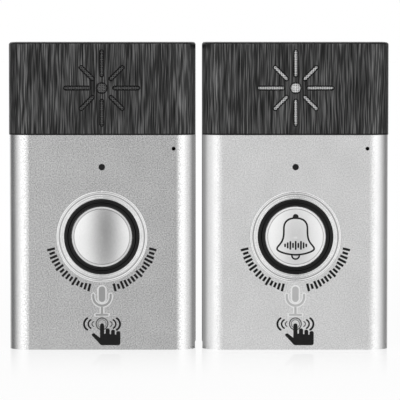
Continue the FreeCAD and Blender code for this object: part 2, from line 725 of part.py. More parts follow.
def front_frame(unit):
    """Inner frame behind the shell and the cap: plate, short sides, base plate and posts."""
    body = new_body(unit, "front_frame")
    section = plan_sketch(body, "0")
    u_section(section, "frame_half", "frame_front", "frame_front + frame_side", "frame_corner",
              "frame_wall")
    pad(body, section, "frame_top")
    base = plan_sketch(body, "0")
    filled_section(base, "frame_half", "frame_front", "parting - glue_gap", "frame_corner")
    pad(body, base, "floor_thickness")
    collar = front_sketch(body, "frame_back", "0", "burst_height")
    circle(collar, "speaker_radius + glue_gap + collar_wall")
    circle(collar, "speaker_radius + glue_gap")
    pad(body, collar, "collar_height")
    for across, height in CASE_SCREWS:
        post = front_sketch(body, "frame_back - glue_gap")
        circle(post, "post_radius", across, height)
        pad(body, post, "post_end - frame_back + glue_gap")
        pilot = front_sketch(body, "case_screw_tip - hole_end")
        circle(pilot, "hole_radius", across, height)
        cut(body, pilot, "post_end - case_screw_tip + 2 * hole_end")
    for across, height in BOARD_SCREWS:
        post = front_sketch(body, "frame_back - frame_wall / 2")
        circle(post, "standoff_radius", across, height)
        pad(body, post, "standoff_length + frame_wall / 2")
        pilot = front_sketch(body, "board_back - board_screw_length - hole_end")
        circle(pilot, "board_screw + thread_gap", across, height)
        cut(body, pilot, "board_screw_length")
    holes = front_sketch(body, "0")
    circle(holes, "neck_hole", "0", "button_height")
    circle(holes, "pipe_collar_radius + glue_gap", "0", "led_place")
    circle(holes, "speaker_bore", "0", "burst_height")
    circle(holes, "boot_hole", "mic_across", "mic_place")
    cut(body, holes, "frame_front + frame_side")
    if unit == "indoor":
        mouth = plan_sketch(body, "0")
        rectangle(mouth, "-socket_width / 2 - glue_gap", "socket_width / 2 + glue_gap",
                  "board_back - glue_gap", "board_back + socket_thick + glue_gap")
        cut(body, mouth, "floor_thickness")
    place(body, unit, "front_frame")


def rear_case(unit):
    """Black rear case: rim, lip, battery bay, screw posts, keyhole pockets and lid seat."""
    body = new_body(unit, "rear_case")
    tub = front_sketch(body, "parting")
    rectangle(tub, "-half_width", "half_width", "0", "case_height", "rear_corner")
    pad(body, tub, "rear_rim_depth")
    back = number("case_depth")
    soften(body, lambda spot: abs(spot.y - back) < 0.01, "rear_round")
    hollow = front_sketch(body, "parting")
    rectangle(hollow, "-half_width + rim_wall", "half_width - rim_wall", "rim_wall",
              "case_height - rim_wall")
    cut(body, hollow, "rear_rim_depth - rear_wall")
    lip = front_sketch(body, "parting - lip_length")
    reach = "frame_half - glue_gap"
    rectangle(lip, f"-({reach})", reach, "floor_thickness + glue_gap", "frame_top - glue_gap")
    rectangle(lip, f"-({reach} - lip_wall)", f"{reach} - lip_wall",
              "floor_thickness + glue_gap + lip_wall", "frame_top - glue_gap - lip_wall")
    pad(body, lip, "back_inside - parting + lip_length")
    ledge = front_sketch(body, "ledge_front")
    rectangle(ledge, "-lid_half - ledge_width", "lid_half + ledge_width", "lid_low - ledge_width",
              "lid_top + ledge_width")
    pad(body, ledge, "back_inside - ledge_front + rear_wall / 2")
    bay = front_sketch(body, "bay_front")
    rectangle(bay, "-bay_half - bay_wall", "bay_half + bay_wall", "bay_low - bay_wall",
              "bay_top + bay_wall")
    pad(body, bay, "ledge_front - bay_front + ledge_thickness / 2")
    for across, height in CASE_SCREWS:
        post = front_sketch(body, "rear_post_front")
        circle(post, "rear_post", across, height)
        pad(body, post, "back_inside - rear_post_front + rear_wall / 2")
    for across, height in LID_SCREWS:
        boss = front_sketch(body, "ledge_front - boss_length")
        circle(boss, "post_radius", across, height)
        pad(body, boss, "boss_length + ledge_thickness / 2")
    for across in KEYHOLES:
        pocket = front_sketch(body, "keyhole_front - keyhole_wall")
        outer = "keyhole_cavity + keyhole_wall"
        rectangle(pocket, f"{across} - ({outer})", f"{across} + {outer}", f"keyhole_place - ({outer})",
                  f"keyhole_place + keyhole_rise + {outer}")
        pad(body, pocket, "back_inside - keyhole_front + keyhole_wall + rear_wall / 2")
        cavity = front_sketch(body, "keyhole_front")
        rectangle(cavity, f"{across} - keyhole_cavity", f"{across} + keyhole_cavity",
                  "keyhole_place - keyhole_cavity", "keyhole_place + keyhole_rise + keyhole_cavity",
                  "pocket_corner")
        cut(body, cavity, "keyhole_depth")
        entry = front_sketch(body, "back_inside")
        circle(entry, "keyhole_entry", across, "keyhole_place")
        cut(body, entry, "rear_wall")
        channel = front_sketch(body, "back_inside", across, "keyhole_place")
        channel.AttachmentOffset = Placement(channel.AttachmentOffset.Base, Rotation(Vector(0, 0, 1), 90))
        slot(channel, "0", "keyhole_rise", "keyhole_slot / 2")
        cut(body, channel, "rear_wall")
    seat = front_sketch(body, "lid_inside")
    rectangle(seat, "-lid_half - lid_gap", "lid_half + lid_gap", "lid_low - lid_gap", "lid_top + lid_gap",
              "lid_corner + lid_gap")
    cut(body, seat, "lid_thickness")
    cells = front_sketch(body, "bay_inside")
    rectangle(cells, "-bay_half", "bay_half", "bay_low", "bay_top")
    cut(body, cells, "lid_inside - bay_inside")
    holes = front_sketch(body, "rear_post_front")
    sinks = front_sketch(body, "case_screw_seat")
    for across, height in CASE_SCREWS:
        circle(holes, "hole_radius", across, height)
        circle(sinks, "screw_head + glue_gap", across, height)
    cut(body, holes, "case_screw_seat - rear_post_front")
    cut(body, sinks, "case_screw_sink")
    threads = front_sketch(body, "lid_screw_tip - hole_end")
    for across, height in LID_SCREWS:
        circle(threads, "hole_radius", across, height)
    cut(body, threads, "lid_inside - lid_screw_tip + hole_end")
    if unit == "outdoor":
        groove = front_sketch(body, "lid_inside - gasket_depth")
        gasket_outline(groove)
        cut(body, groove, "gasket_depth")
    place(body, unit, "rear_case")


def gasket_outline(drawing):
    """The gasket's ring, inside the edge of the lid."""
    for inset in ("gasket_inset", "gasket_inset + gasket_width"):
        rectangle(drawing, f"-lid_half + {inset}", f"lid_half - ({inset})", f"lid_low + {inset}",
                  f"lid_top - ({inset})")


def lid_gasket(unit):
    """Rubber ring in its groove under the battery lid."""
    body = new_body(unit, "lid_gasket")
    ring = front_sketch(body, "lid_inside - gasket_depth")
    gasket_outline(ring)
    pad(body, ring, "gasket_depth")
    place(body, unit, "lid_gasket")


def battery_lid(unit):
    """Flat lid with two screw holes and grip lines."""
    body = new_body(unit, "battery_lid")
    plate = front_sketch(body, "lid_inside + slide_gap")
    rectangle(plate, "-lid_half", "lid_half", "lid_low", "lid_top", "lid_corner")
    pad(body, plate, "lid_thickness - slide_gap")
    holes = front_sketch(body, "lid_inside")
    sinks = front_sketch(body, "lid_screw_seat")
    for across, height in LID_SCREWS:
        circle(holes, "hole_radius + thread_gap", across, height)
        circle(sinks, "screw_head + glue_gap", across, height)
    cut(body, holes, "lid_thickness")
    cut(body, sinks, "case_depth - lid_screw_seat")
    lines = front_sketch(body, "case_depth - grip_depth")
    for row in range(int(number("grip_count"))):
        low = f"top_lid_screw - grip_drop - {row} * grip_spacing"
        rectangle(lines, "-grip_width / 2", "grip_width / 2", low, f"{low} + grip_line")
    cut(body, lines, "grip_depth")
    place(body, unit, "battery_lid")


# Talk button

def bezel_ring(unit):
    """Silver ring round the button: two inner beads, a groove and an outer bead, on a neck
    through the shell."""
    land = "bezel_inner + bezel_land"
    bead = "bezel_radius - bezel_bead"
    body = turned(unit, "bezel_ring", "button_height", [
        ("bezel_inner", "frame_back"),
        ("bezel_outer", "frame_back"),
        ("bezel_outer", "face"),
        ("bezel_radius", "face"),
        ("bezel_radius", "bezel_edge", "bulge", "bezel_crown"),
        (bead, "bezel_edge"),
        (bead, "bezel_face + bezel_groove"),
        (land, "bezel_face + bezel_groove"),
        (land, "bezel_edge", "bulge", "bezel_crown"),
        ("bezel_middle", "bezel_edge", "bulge", "bezel_crown"),
        ("bezel_inner", "bezel_edge"),
    ])
    place(body, unit, "bezel_ring")


def button_ring(unit):
    """Gloss black ring with two beads, which guides the button and hooks behind the front frame."""
    hook = "neck_hole + ring_hook"
    body = turned(unit, "button_ring", "button_height", [
        ("ring_radius", "ring_edge", "bulge", "ring_rise"),
        ("ring_middle", "ring_edge", "bulge", "ring_rise"),
        ("button_bore", "ring_edge"),
        ("button_bore", "lip_seat"),
        ("lip_radius + glue_gap", "lip_seat"),
        ("lip_radius + glue_gap", "ring_back"),
        (hook, "ring_back"),
        (hook, "frame_back"),
        ("ring_radius", "frame_back"),
    ])
    place(body, unit, "button_ring")


def button_cap(unit):
    """Brushed metal button: dome, flat ring, skirt, retaining lip and stem."""
    groove = "dome_radius + flange_groove"
    body = turned(unit, "button_cap", "button_height", [
        ("0", "plunger_tip"),
        ("stem_radius", "plunger_tip"),
        ("stem_radius", "button_face + button_skin"),
        ("button_radius - button_skin", "button_face + button_skin"),
        ("button_radius - button_skin", "lip_back"),
        ("lip_radius", "lip_back"),
        ("lip_radius", "lip_front"),
        ("button_radius", "lip_front"),
        ("button_radius", "button_face + flange_groove"),
        ("button_radius - flange_groove", "button_face"),
        (groove, "button_face"),
        (groove, "button_face + flange_groove"),
        ("dome_radius", "button_face + flange_groove"),
        ("dome_radius", "button_face", "bulge", "dome_sagitta"),
        ("0", "crown"),
    ])
    place(body, unit, "button_cap")


def return_pad(unit):
    """Rubber cone that pushes the button back out."""
    body = turned(unit, "return_pad", "button_height", [
        ("pad_foot", "board_front"),
        ("pad_foot + 2 * pad_wall", "board_front"),
        ("pad_foot + 2 * pad_wall", "board_front - pad_wall"),
        ("lip_radius", "lip_back + pad_wall"),
        ("lip_radius", "lip_back"),
        ("lip_radius - 2 * pad_wall", "lip_back"),
        ("lip_radius - 2 * pad_wall", "lip_back + pad_wall"),
        ("pad_foot", "board_front - pad_wall"),
    ])
    place(body, unit, "return_pad")


def push_switch(unit):
    """Push switch under the button: its body with a blind hole, and the plunger in it."""
    half = "switch_width / 2"
    height = f"button_height - {half}"
    case = block(f"-{half}", "board_front - switch_body", height, "switch_width", "switch_body",
                 "switch_width")
    hole = rod("0", "board_front - switch_body", "button_height", "plunger_radius + slide_gap",
               "plunger_seat + press_travel + plunger_clear")
    place(less(case, hole), unit, "tact_switch")
    plunger = rod("0", "plunger_tip", "button_height", "plunger_radius", "plunger_back - plunger_tip")
    place(plunger, unit, "switch_plunger")


# Electronics

def circuit_board(unit):
    """Board on four posts, with a lower tongue and the chips soldered to it."""
    body = new_body(unit, "circuit_board")
    plate = front_sketch(body, "board_front")
    tongue = "tongue_width / 2"
    low = "floor_thickness + 2 * glue_gap"
    outline(plate, [
        (f"-{tongue}", low), (tongue, low), (tongue, "board_low"), ("board_half", "board_low"),
        ("board_half", "board_top"), ("-board_half", "board_top"), ("-board_half", "board_low"),
        (f"-{tongue}", "board_low"),
    ])
    pad(body, plate, "board_thickness")
    chip = front_sketch(body, "board_front - chip_height")
    low_chip = "board_low + chip_rise"
    rectangle(chip, "-chip_width / 2", "chip_width / 2", low_chip, f"{low_chip} + chip_width")
    pad(body, chip, "chip_height + board_thickness / 2")
    holes = front_sketch(body, "board_front")
    for across, height in BOARD_SCREWS:
        circle(holes, "board_screw + glue_gap", across, height)
    cut(body, holes, "board_thickness")
    place(body, unit, "circuit_board")


def radio(unit):
    """Radio module with its shield can, and the stamped antenna beside it."""
    left = "-radio_width - middle_gap"
    low = "board_top - radio_drop - radio_tall"
    base = block(left, "board_front - radio_board", low, "radio_width", "radio_board", "radio_tall")
    can = block(f"{left} + can_margin", "board_front - radio_board - radio_can", f"{low} + can_margin",
                "radio_width - 2 * can_margin", "radio_can", "radio_tall - 2 * can_margin")
    place(fused([base, can]), unit, "radio_module")
    front = "board_front - antenna_rise"
    height = "board_top - antenna_drop - antenna_width"
    strip = block("middle_gap", front, height, "antenna_length", "antenna_strip", "antenna_width")
    legs = [block(left, front, height, "antenna_strip", "antenna_rise", "antenna_width")
            for left in ("middle_gap", "middle_gap + antenna_step")]
    place(fused([strip] + legs), unit, "antenna")


def status_light(unit):
    """Light on the board and the clear pipe that brings it to the front."""
    led = block("-led_size / 2", "board_front - led_height", "led_place - led_size / 4", "led_size",
                "led_height", "led_size / 2")
    place(led, unit, "status_led")
    body = turned(unit, "light_pipe", "led_place", [
        ("0", "face"), ("0", "pipe_end"), ("pipe_radius", "pipe_end"),
        ("pipe_radius", "frame_back"), ("pipe_collar_radius", "frame_back"),
        ("pipe_collar_radius", "frame_front"), ("pipe_radius", "frame_front"), ("pipe_radius", "face"),
    ])
    place(body, unit, "light_pipe")


def microphone(unit):
    """Microphone capsule on the board, in a rubber boot whose snout meets the front shell."""
    capsule = rod("mic_across", "mic_front", "mic_place", "mic_radius", "mic_height")
    place(capsule, unit, "microphone")
    snout_front = "shell_inside + 2 * glue_gap"
    body = turned(unit, "mic_boot", "mic_place", [
        ("mic_hole", snout_front), ("mic_hole", "mic_front"), ("mic_radius", "mic_front"),
        ("mic_radius", "board_front - glue_gap"), ("boot_radius", "board_front - glue_gap"),
        ("boot_radius", "boot_front"), ("snout_radius", "boot_front"), ("snout_radius", snout_front),
    ], "mic_across")
    place(body, unit, "mic_boot")


def speaker(unit):
    """Basket, cone and magnet, on the front frame, and two leads to the board."""
    inner = "speaker_radius - speaker_rim"
    step = "speaker_seat + speaker_rim"
    floor = "basket_end - basket_wall"
    body = turned(unit, "speaker_basket", "burst_height", [
        ("speaker_radius", "speaker_seat"), (inner, "speaker_seat"), (inner, step),
        ("basket_back - basket_wall / 2", floor), ("0", floor), ("0", "basket_end"),
        ("basket_back", "basket_end"), (f"{inner} + basket_wall", step), ("speaker_radius", step),
    ])
    terminal = front_sketch(body, "speaker_seat + speaker_rim / 2")
    rectangle(terminal, "-terminal_width / 2", "terminal_width / 2", "terminal_low",
              "terminal_low + terminal_tall")
    pad(body, terminal, "basket_depth - speaker_rim / 2")
    bowl = plan_sketch(body, "burst_height")
    outline(bowl, [
        ("0", "speaker_seat"), ("0", floor), ("basket_back - basket_wall / 2", floor), (inner, step),
        (inner, "speaker_seat"),
    ])
    hollow = body.newObject("PartDesign::Groove", f"{body.Name}_bowl")
    hollow.Profile = bowl
    hollow.ReferenceAxis = (bowl, ["V_Axis"])
    hollow.Angle = 360
    place(body, unit, "speaker_basket")

    edge = f"{inner} - surround_width"
    front = "speaker_seat + cone_thickness"
    deep = f"{floor} - cone_thickness"
    body = turned(unit, "speaker_cone", "burst_height", [
        (inner, front), (edge, front), ("cone_neck", deep), ("0", f"{deep} - dust_cap_rise"),
        ("0", f"{deep} - dust_cap_rise + cone_thickness"), ("cone_neck", floor),
        (edge, f"{front} + cone_thickness"), (inner, f"{front} + cone_thickness"),
    ])
    place(body, unit, "speaker_cone")

    magnet = rod("0", "basket_end", "burst_height", "magnet_radius", "magnet_height")
    place(magnet, unit, "speaker_magnet")

    leads = document.addObject("Part::Feature", "leads")
    leads.Shape = Part.makeCompound([lead(side * number("lead_spacing / 2")) for side in (-1, 1)])
    place(leads, unit, "speaker_leads")


def lead(across):
    """A wire from the underside of the terminal block, down in front of the board and onto it."""
    start = Vector(across, number("lead_depth"), number("terminal_low"))
    corner = Vector(across, number("lead_depth"), number("lead_low"))
    end = Vector(across, number("board_front"), number("lead_low"))
    bend = number("lead_bend")
    entry, leave = corner + Vector(0, 0, bend), corner + Vector(0, bend, 0)
    middle = corner + Vector(0, bend, bend) * (1 - math.sqrt(0.5))
    edges = [Part.LineSegment(start, entry), Part.Arc(entry, middle, leave), Part.LineSegment(leave, end)]
    route = Part.Wire([edge.toShape() for edge in edges])
    ring = Part.Wire([Part.makeCircle(number("lead_radius"), start, Vector(0, 0, 1))])
    return route.makePipeShell([ring], True, False)


# Batteries

def cell_places():
    """For each cell: its place across, and whether its nub is at the top."""
    return [("-cell_pitch", True), ("0", False), ("cell_pitch", True)]


def battery_cells(unit):
    """Three AAA cells, turned about in their bay."""
    cells = []
    for across, nub_up in cell_places():
        low = "bay_low + contact_thickness"
        can_low = f"{low} + spring_length" if nub_up else f"{low} + nub_height"
        nub_low = f"{can_low} + cell_length - nub_height" if nub_up else low
        can = rod(across, "cell_depth", can_low, "cell_radius", "cell_length - nub_height", upright=True)
        nub = rod(across, "cell_depth", nub_low, "nub_radius", "nub_height", upright=True)
        cells.append(fused([can, nub]))
    place(together(cells), unit, "battery_cells")


def arc_from(start, heading, end):
    """The arc that leaves its start along the heading and reaches the end."""
    chord = end - start
    along = Vector(chord).normalize()
    side = heading - along * heading.dot(along)
    turn_angle = math.atan2(side.Length, heading.dot(along))
    middle = start + chord * 0.5 + side.normalize() * (chord.Length / 2) * math.tan(turn_angle / 2)
    return middle, Part.Arc(start, middle, end).toShape()


def tangent_arcs(start, heading, end, far_heading):
    """Two arcs that join smoothly and meet both headings."""
    span = end - start
    open_angle = 2 * (1 - heading.dot(far_heading))
    lead_in = span.dot(heading + far_heading)
    reach = (math.sqrt(lead_in ** 2 + open_angle * span.dot(span)) - lead_in) / open_angle
    joint = (start + heading * reach + end - far_heading * reach) * 0.5
    _, first = arc_from(start, heading, joint)
    middle, _ = arc_from(end, far_heading * -1, joint)
    return [first, Part.Arc(joint, middle, end).toShape()]


def spring():
    """A conical battery spring, wide end down, on the origin."""
    wide, narrow, wire = number("spring_wide"), number("spring_narrow"), number("spring_wire")
    rise = number("spring_length") - 2 * wire
    sweep = 2 * math.pi * number("spring_turns")
    steps = int(number("spring_turns") * 4)

    def at(share):
        radius = wide + (narrow - wide) * share
        angle = sweep * share
        spot = Vector(radius * math.cos(angle), radius * math.sin(angle), wire + rise * share)
        heading = Vector((narrow - wide) * math.cos(angle) - radius * sweep * math.sin(angle),
                         (narrow - wide) * math.sin(angle) + radius * sweep * math.cos(angle), rise)
        return spot, heading.normalize()

    edges = []
    for step in range(steps):
        edges += tangent_arcs(*at(step / steps), *at((step + 1) / steps))
    start, heading = at(0)
    ring = Part.Wire([Part.makeCircle(wire, start, heading)])
    coil = Part.BRepOffsetAPI.MakePipeShell(Part.Wire(edges))
    coil.add(ring)
    coil.build()
    coil.makeSolid()
    gap = rise / number("spring_turns") - 2 * wire
    step_in = (wide - narrow) / number("spring_turns")
    print(f"battery spring: gap between turns {math.hypot(gap + 2 * wire, step_in) - 2 * wire:.2f} mm")
    return coil.shape()


def battery_contacts(unit):
    """Contact plates at both ends of the bay, and a spring at each cell's flat end."""
    pitch, depth = number("cell_pitch"), number("cell_depth")
    half, thick = number("contact_width / 2"), number("contact_thickness")
    low, top = number("bay_low"), number("bay_top")
    plates = [(low, -pitch, -pitch), (low, 0, pitch), (top - thick, -pitch, 0), (top - thick, pitch, pitch)]
    solids = []
    for height, first, last in plates:
        corner = Vector(first - half, depth - half, height)
        solids.append(Part.makeBox(last - first + 2 * half, 2 * half, thick, corner))
    coil = spring()
    for across, nub_up in cell_places():
        turn_over = Rotation(Vector(1, 0, 0), 0 if nub_up else 180)
        height = low + thick if nub_up else top - thick
        seat = Placement(Vector(number(across), depth, height), turn_over)
        solids.append(coil.transformed(seat.toMatrix()))
    contacts = document.addObject("Part::Feature", "contacts")
    contacts.Shape = Part.makeCompound(solids)
    place(contacts, unit, "battery_contacts")


# Fasteners, switch and socket

def fasteners(unit):
    """Case, lid and board screws."""
    place(screw_row(CASE_SCREWS, "case_screw_seat", "case_screw_length", "screw_radius", "screw_head",
                    "head_height"), unit, "case_screws")
    place(screw_row(LID_SCREWS, "lid_screw_seat", "lid_screw_length", "screw_radius", "screw_head",
                    "head_height"), unit, "lid_screws")
    place(screw_row(BOARD_SCREWS, "board_back", "board_screw_length", "board_screw", "board_screw_head",
                    "board_head_height"), unit, "board_screws")


def power_switch(unit):
    """Slide switch on the board's edge, and its knob in the window of the front shell."""
    front = "power_middle - power_depth / 2"
    case = block("-board_half", front, "power_height - power_length / 2", "power_width", "power_depth",
                 "power_length")
    track = block("-board_half", "power_middle - knob_thickness / 2 - slide_gap",
                  "power_height - knob_travel / 2 - knob_length / 2 - knob_gap", "knob_seat + slide_gap",
                  "knob_thickness + 2 * slide_gap", "knob_travel + knob_length + 2 * knob_gap")
    place(less(case, track), unit, "power_switch")
    knob = block("-knob_outside", "power_middle - knob_thickness / 2",
                 "power_height - knob_travel / 2 - knob_length / 2",
                 "knob_outside - board_half + knob_seat", "knob_thickness", "knob_length")
    place(knob, unit, "power_knob")


def charging_socket(unit):
    """Socket shell with its inner tongue, facing down through the base."""
    outer = block("-socket_width / 2", "board_back", "socket_sink", "socket_width", "socket_thick",
                  "socket_length")
    inner = block("-socket_width / 2 + socket_wall", "board_back + socket_wall", "socket_sink",
                  "socket_width - 2 * socket_wall", "socket_thick - 2 * socket_wall",
                  "socket_length - socket_wall")
    tongue = block("-tongue_across / 2", "board_back + (socket_thick - tongue_thick) / 2",
                   "socket_sink + tongue_sink", "tongue_across", "tongue_thick",
                   "socket_length - tongue_sink")
    place(fused([less(outer, inner), tongue]), unit, "charging_socket")


PIECES = [front_shell, top_cap, speaker_mesh, front_frame, rear_case, battery_lid, bezel_ring, button_ring,
          button_cap, return_pad, push_switch, circuit_board, radio, status_light, microphone, speaker,
          battery_cells, battery_contacts, fasteners]
OWN_PIECES = {"outdoor": [lid_gasket], "indoor": [power_switch, charging_socket]}


def check():
    """Stops if any object failed, any cut removed nothing or any shape is bad."""
    for thing in document.Objects:
        if any(word in ("Invalid", "Error") for word in thing.State):
            raise RuntimeError(f"{thing.Label} failed: {thing.State}")
        if thing.TypeId in ("PartDesign::Pocket", "PartDesign::Groove"):
            if thing.Shape.Volume > thing.BaseFeature.Shape.Volume - 1e-6:
                raise RuntimeError(f"{thing.Label} cuts nothing")
    for node in NODES:
        if node.Shape.isNull() or not node.Shape.isValid() or not node.Shape.Solids:
            raise RuntimeError(f"{node.Label} has no good shape")


def export():
    os.makedirs("parts", exist_ok=True)
    for node in NODES:
        node.Shape.exportStep(f"parts/{node.Label}.step")
    print(f"{len(NODES)} nodes written")


for unit_name in ("outdoor", "indoor"):
    for make in PIECES + OWN_PIECES[unit_name]:
        make(unit_name)
document.recompute()
check()
export()
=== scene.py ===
"""Finishes, speaker mesh, printed signs, screws and stage for a pair of intercom doorbell units.

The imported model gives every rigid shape. This script gives it its surfaces, weaves the speaker
mesh, moulds the return pads, prints the signs, fits the screws and lights the pair. Lengths in the
tables of points are millimetres, and everything in the scene is in metres. X runs across the pair,
the fronts face -Y and Z is up.
"""

import math

import bmesh
import bpy
from mathutils import Matrix, Vector


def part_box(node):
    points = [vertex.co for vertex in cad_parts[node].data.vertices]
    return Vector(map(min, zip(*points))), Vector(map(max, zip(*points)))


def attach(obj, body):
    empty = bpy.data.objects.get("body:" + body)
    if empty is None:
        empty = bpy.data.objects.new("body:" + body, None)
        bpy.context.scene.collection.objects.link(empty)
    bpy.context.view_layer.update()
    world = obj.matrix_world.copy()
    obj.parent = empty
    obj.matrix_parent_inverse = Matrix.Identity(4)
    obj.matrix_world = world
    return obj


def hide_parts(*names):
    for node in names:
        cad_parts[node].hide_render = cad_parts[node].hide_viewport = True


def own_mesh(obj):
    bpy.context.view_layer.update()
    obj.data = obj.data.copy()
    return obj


bl_info = {
    "name": "Intercom doorbell pair",
    "version": (1, 0, 0),
    "blender": (4, 5, 0),
    "location": "View3D > Sidebar > Doorbell",
    "description": "Finishes, speaker mesh, signs, screws and stage for a pair of doorbell units",
    "category": "Object",
}

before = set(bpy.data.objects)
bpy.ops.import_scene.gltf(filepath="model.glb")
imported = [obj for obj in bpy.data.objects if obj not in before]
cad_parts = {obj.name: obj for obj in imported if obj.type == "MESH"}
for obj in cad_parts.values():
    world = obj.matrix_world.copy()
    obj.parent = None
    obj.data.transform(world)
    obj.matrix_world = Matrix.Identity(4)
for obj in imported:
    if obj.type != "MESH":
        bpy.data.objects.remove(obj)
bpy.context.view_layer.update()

MM = 0.001
UNITS = ("outdoor", "indoor")
WHITE = (1.0, 1.0, 1.0, 1.0)

# Brightness of the room that reflections see, by the angle from its dim gap behind the camera.
ROOM = ((0, 0.42), (5, 0.53), (10, 0.74), (15, 1.02), (20, 1.3), (26, 1.52), (36, 1.68), (48, 1.68),
        (56, 1.5), (64, 1.3), (72, 1.1), (80, 0.86), (88, 0.64), (96, 0.42), (105, 0.24), (114, 0.15),
        (132, 0.15), (142, 0.5), (152, 1.0))
GAP_TURN = -3.5

# The sunburst in millimetres: each slot's angle and the far end of its middle line.
SUNBURST = tuple((degrees, 8.95 if degrees % 90 else 11.15) for degrees in range(0, 360, 45))
SLOT_START, SLOT_RADIUS, HOLE_RADIUS = 4.05, 0.65, 1.7


def low(node):
    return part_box(node)[0]


def high(node):
    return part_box(node)[1]


def middle(node):
    return (low(node) + high(node)) / 2


def body_name(unit, part="case"):
    return f"{unit}_{part}"


# Small helpers for nodes, meshes and colours

def linear(code):
    """An sRGB hex colour as linear red, green and blue with a full alpha."""
    parts = [int(code[k:k + 2], 16) / 255 for k in (1, 3, 5)]
    return tuple(p / 12.92 if p <= 0.04045 else ((p + 0.055) / 1.055) ** 2.4 for p in parts) + (1.0,)


def shade(colour, share, lift=0.0):
    """A linear colour made lighter or darker."""
    return tuple(min(1.0, part * share + lift) for part in colour[:3]) + (1.0,)


def feed(tree, item, inputs):
    """Sets or links a node's inputs by name or number. A node stands for its first live output."""
    for socket, value in inputs.items():
        if isinstance(value, bpy.types.Node):
            value = next(port for port in value.outputs if port.enabled)
        if isinstance(value, bpy.types.NodeSocket):
            tree.links.new(value, item.inputs[socket])
        else:
            item.inputs[socket].default_value = value


def add(tree, kind, inputs=None, **settings):
    """Adds a node and sets its properties, then its inputs."""
    item = tree.nodes.new(kind)
    for name, value in settings.items():
        setattr(item, name, value)
    feed(tree, item, inputs or {})
    return item


def ramp(item, stops):
    """Sets the stops of a colour ramp: place and linear colour."""
    elements = item.color_ramp.elements
    while len(elements) < len(stops):
        elements.new(1.0)
    for element, (place, colour) in zip(elements, stops):
        element.position = place
        element.color = colour


def keep(piece, body, replaces=()):
    """Ties a finished piece to its body, and hides the CAD nodes that it stands for."""
    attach(piece, body)
    if replaces:
        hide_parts(*replaces)


def mesh_piece(name, work, material, smooth=True):
    """An object with a mesh made from a bmesh, its normals pointing out."""
    bmesh.ops.remove_doubles(work, verts=work.verts, dist=1e-7)
    bmesh.ops.recalc_face_normals(work, faces=work.faces)
    mesh = bpy.data.meshes.new(name)
    work.to_mesh(mesh)
    work.free()
    mesh.materials.append(material)
    for face in mesh.polygons:
        face.use_smooth = smooth
    piece = bpy.data.objects.new(name, mesh)
    bpy.context.scene.collection.objects.link(piece)
    return piece


def plain_mesh(thing):
    """The evaluated object as a mesh of its own."""
    return bpy.data.meshes.new_from_object(thing.evaluated_get(bpy.context.evaluated_depsgraph_get()))


def baked(name, tree, source=None, **inputs):
    """Runs a Geometry Nodes tree on a mesh, keeps the result as a plain mesh and drops the tree."""
    piece = bpy.data.objects.new(name, source or bpy.data.meshes.new(name))
    bpy.context.scene.collection.objects.link(piece)
    modifier = piece.modifiers.new("Pattern", "NODES")
    modifier.node_group = tree
    for item in tree.interface.items_tree:
        if item.item_type == "SOCKET" and item.in_out == "INPUT" and item.name in inputs:
            modifier[item.identifier] = inputs[item.name]
    mesh = plain_mesh(piece)
    piece.modifiers.remove(modifier)
    piece.data = mesh
    mesh.name = name
    return piece


def tree_with(name, **sockets):
    """A Geometry Nodes tree with named inputs and one geometry output."""
    tree = bpy.data.node_groups.new(name, "GeometryNodeTree")
    tree.interface.new_socket("Geometry", in_out="OUTPUT", socket_type="NodeSocketGeometry")
    for label, kind in sockets.items():
        tree.interface.new_socket(label, in_out="INPUT", socket_type=f"NodeSocket{kind}")
    return tree, tree.nodes.new("NodeGroupInput").outputs


def finish_tree(tree, geometry, material):
    """Ends a tree: real geometry instead of instances, with its material."""
    real = add(tree, "GeometryNodeRealizeInstances", {0: geometry})
    coated = add(tree, "GeometryNodeSetMaterial", {"Geometry": real, "Material": material})
    add(tree, "NodeGroupOutput", {0: coated})
    return tree


# Finishes

def new_finish(name):
    """A material with one Principled shader, and the place on the object in metres."""
    material = bpy.data.materials.new(name)
    material.use_nodes = True
    tree = material.node_tree
    tree.nodes.clear()
    shader = add(tree, "ShaderNodeBsdfPrincipled")
    add(tree, "ShaderNodeOutputMaterial", {"Surface": shader})
    place = add(tree, "ShaderNodeTexCoord").outputs["Object"]
    return material, tree, shader, place


def raise_grain(tree, shader, height, depth, strength=1.0):
    """Bump of a depth in metres from a height between 0 and 1."""
    bump = add(tree, "ShaderNodeBump", {"Height": height, "Distance": depth, "Strength": strength})
    feed(tree, shader, {"Normal": bump})


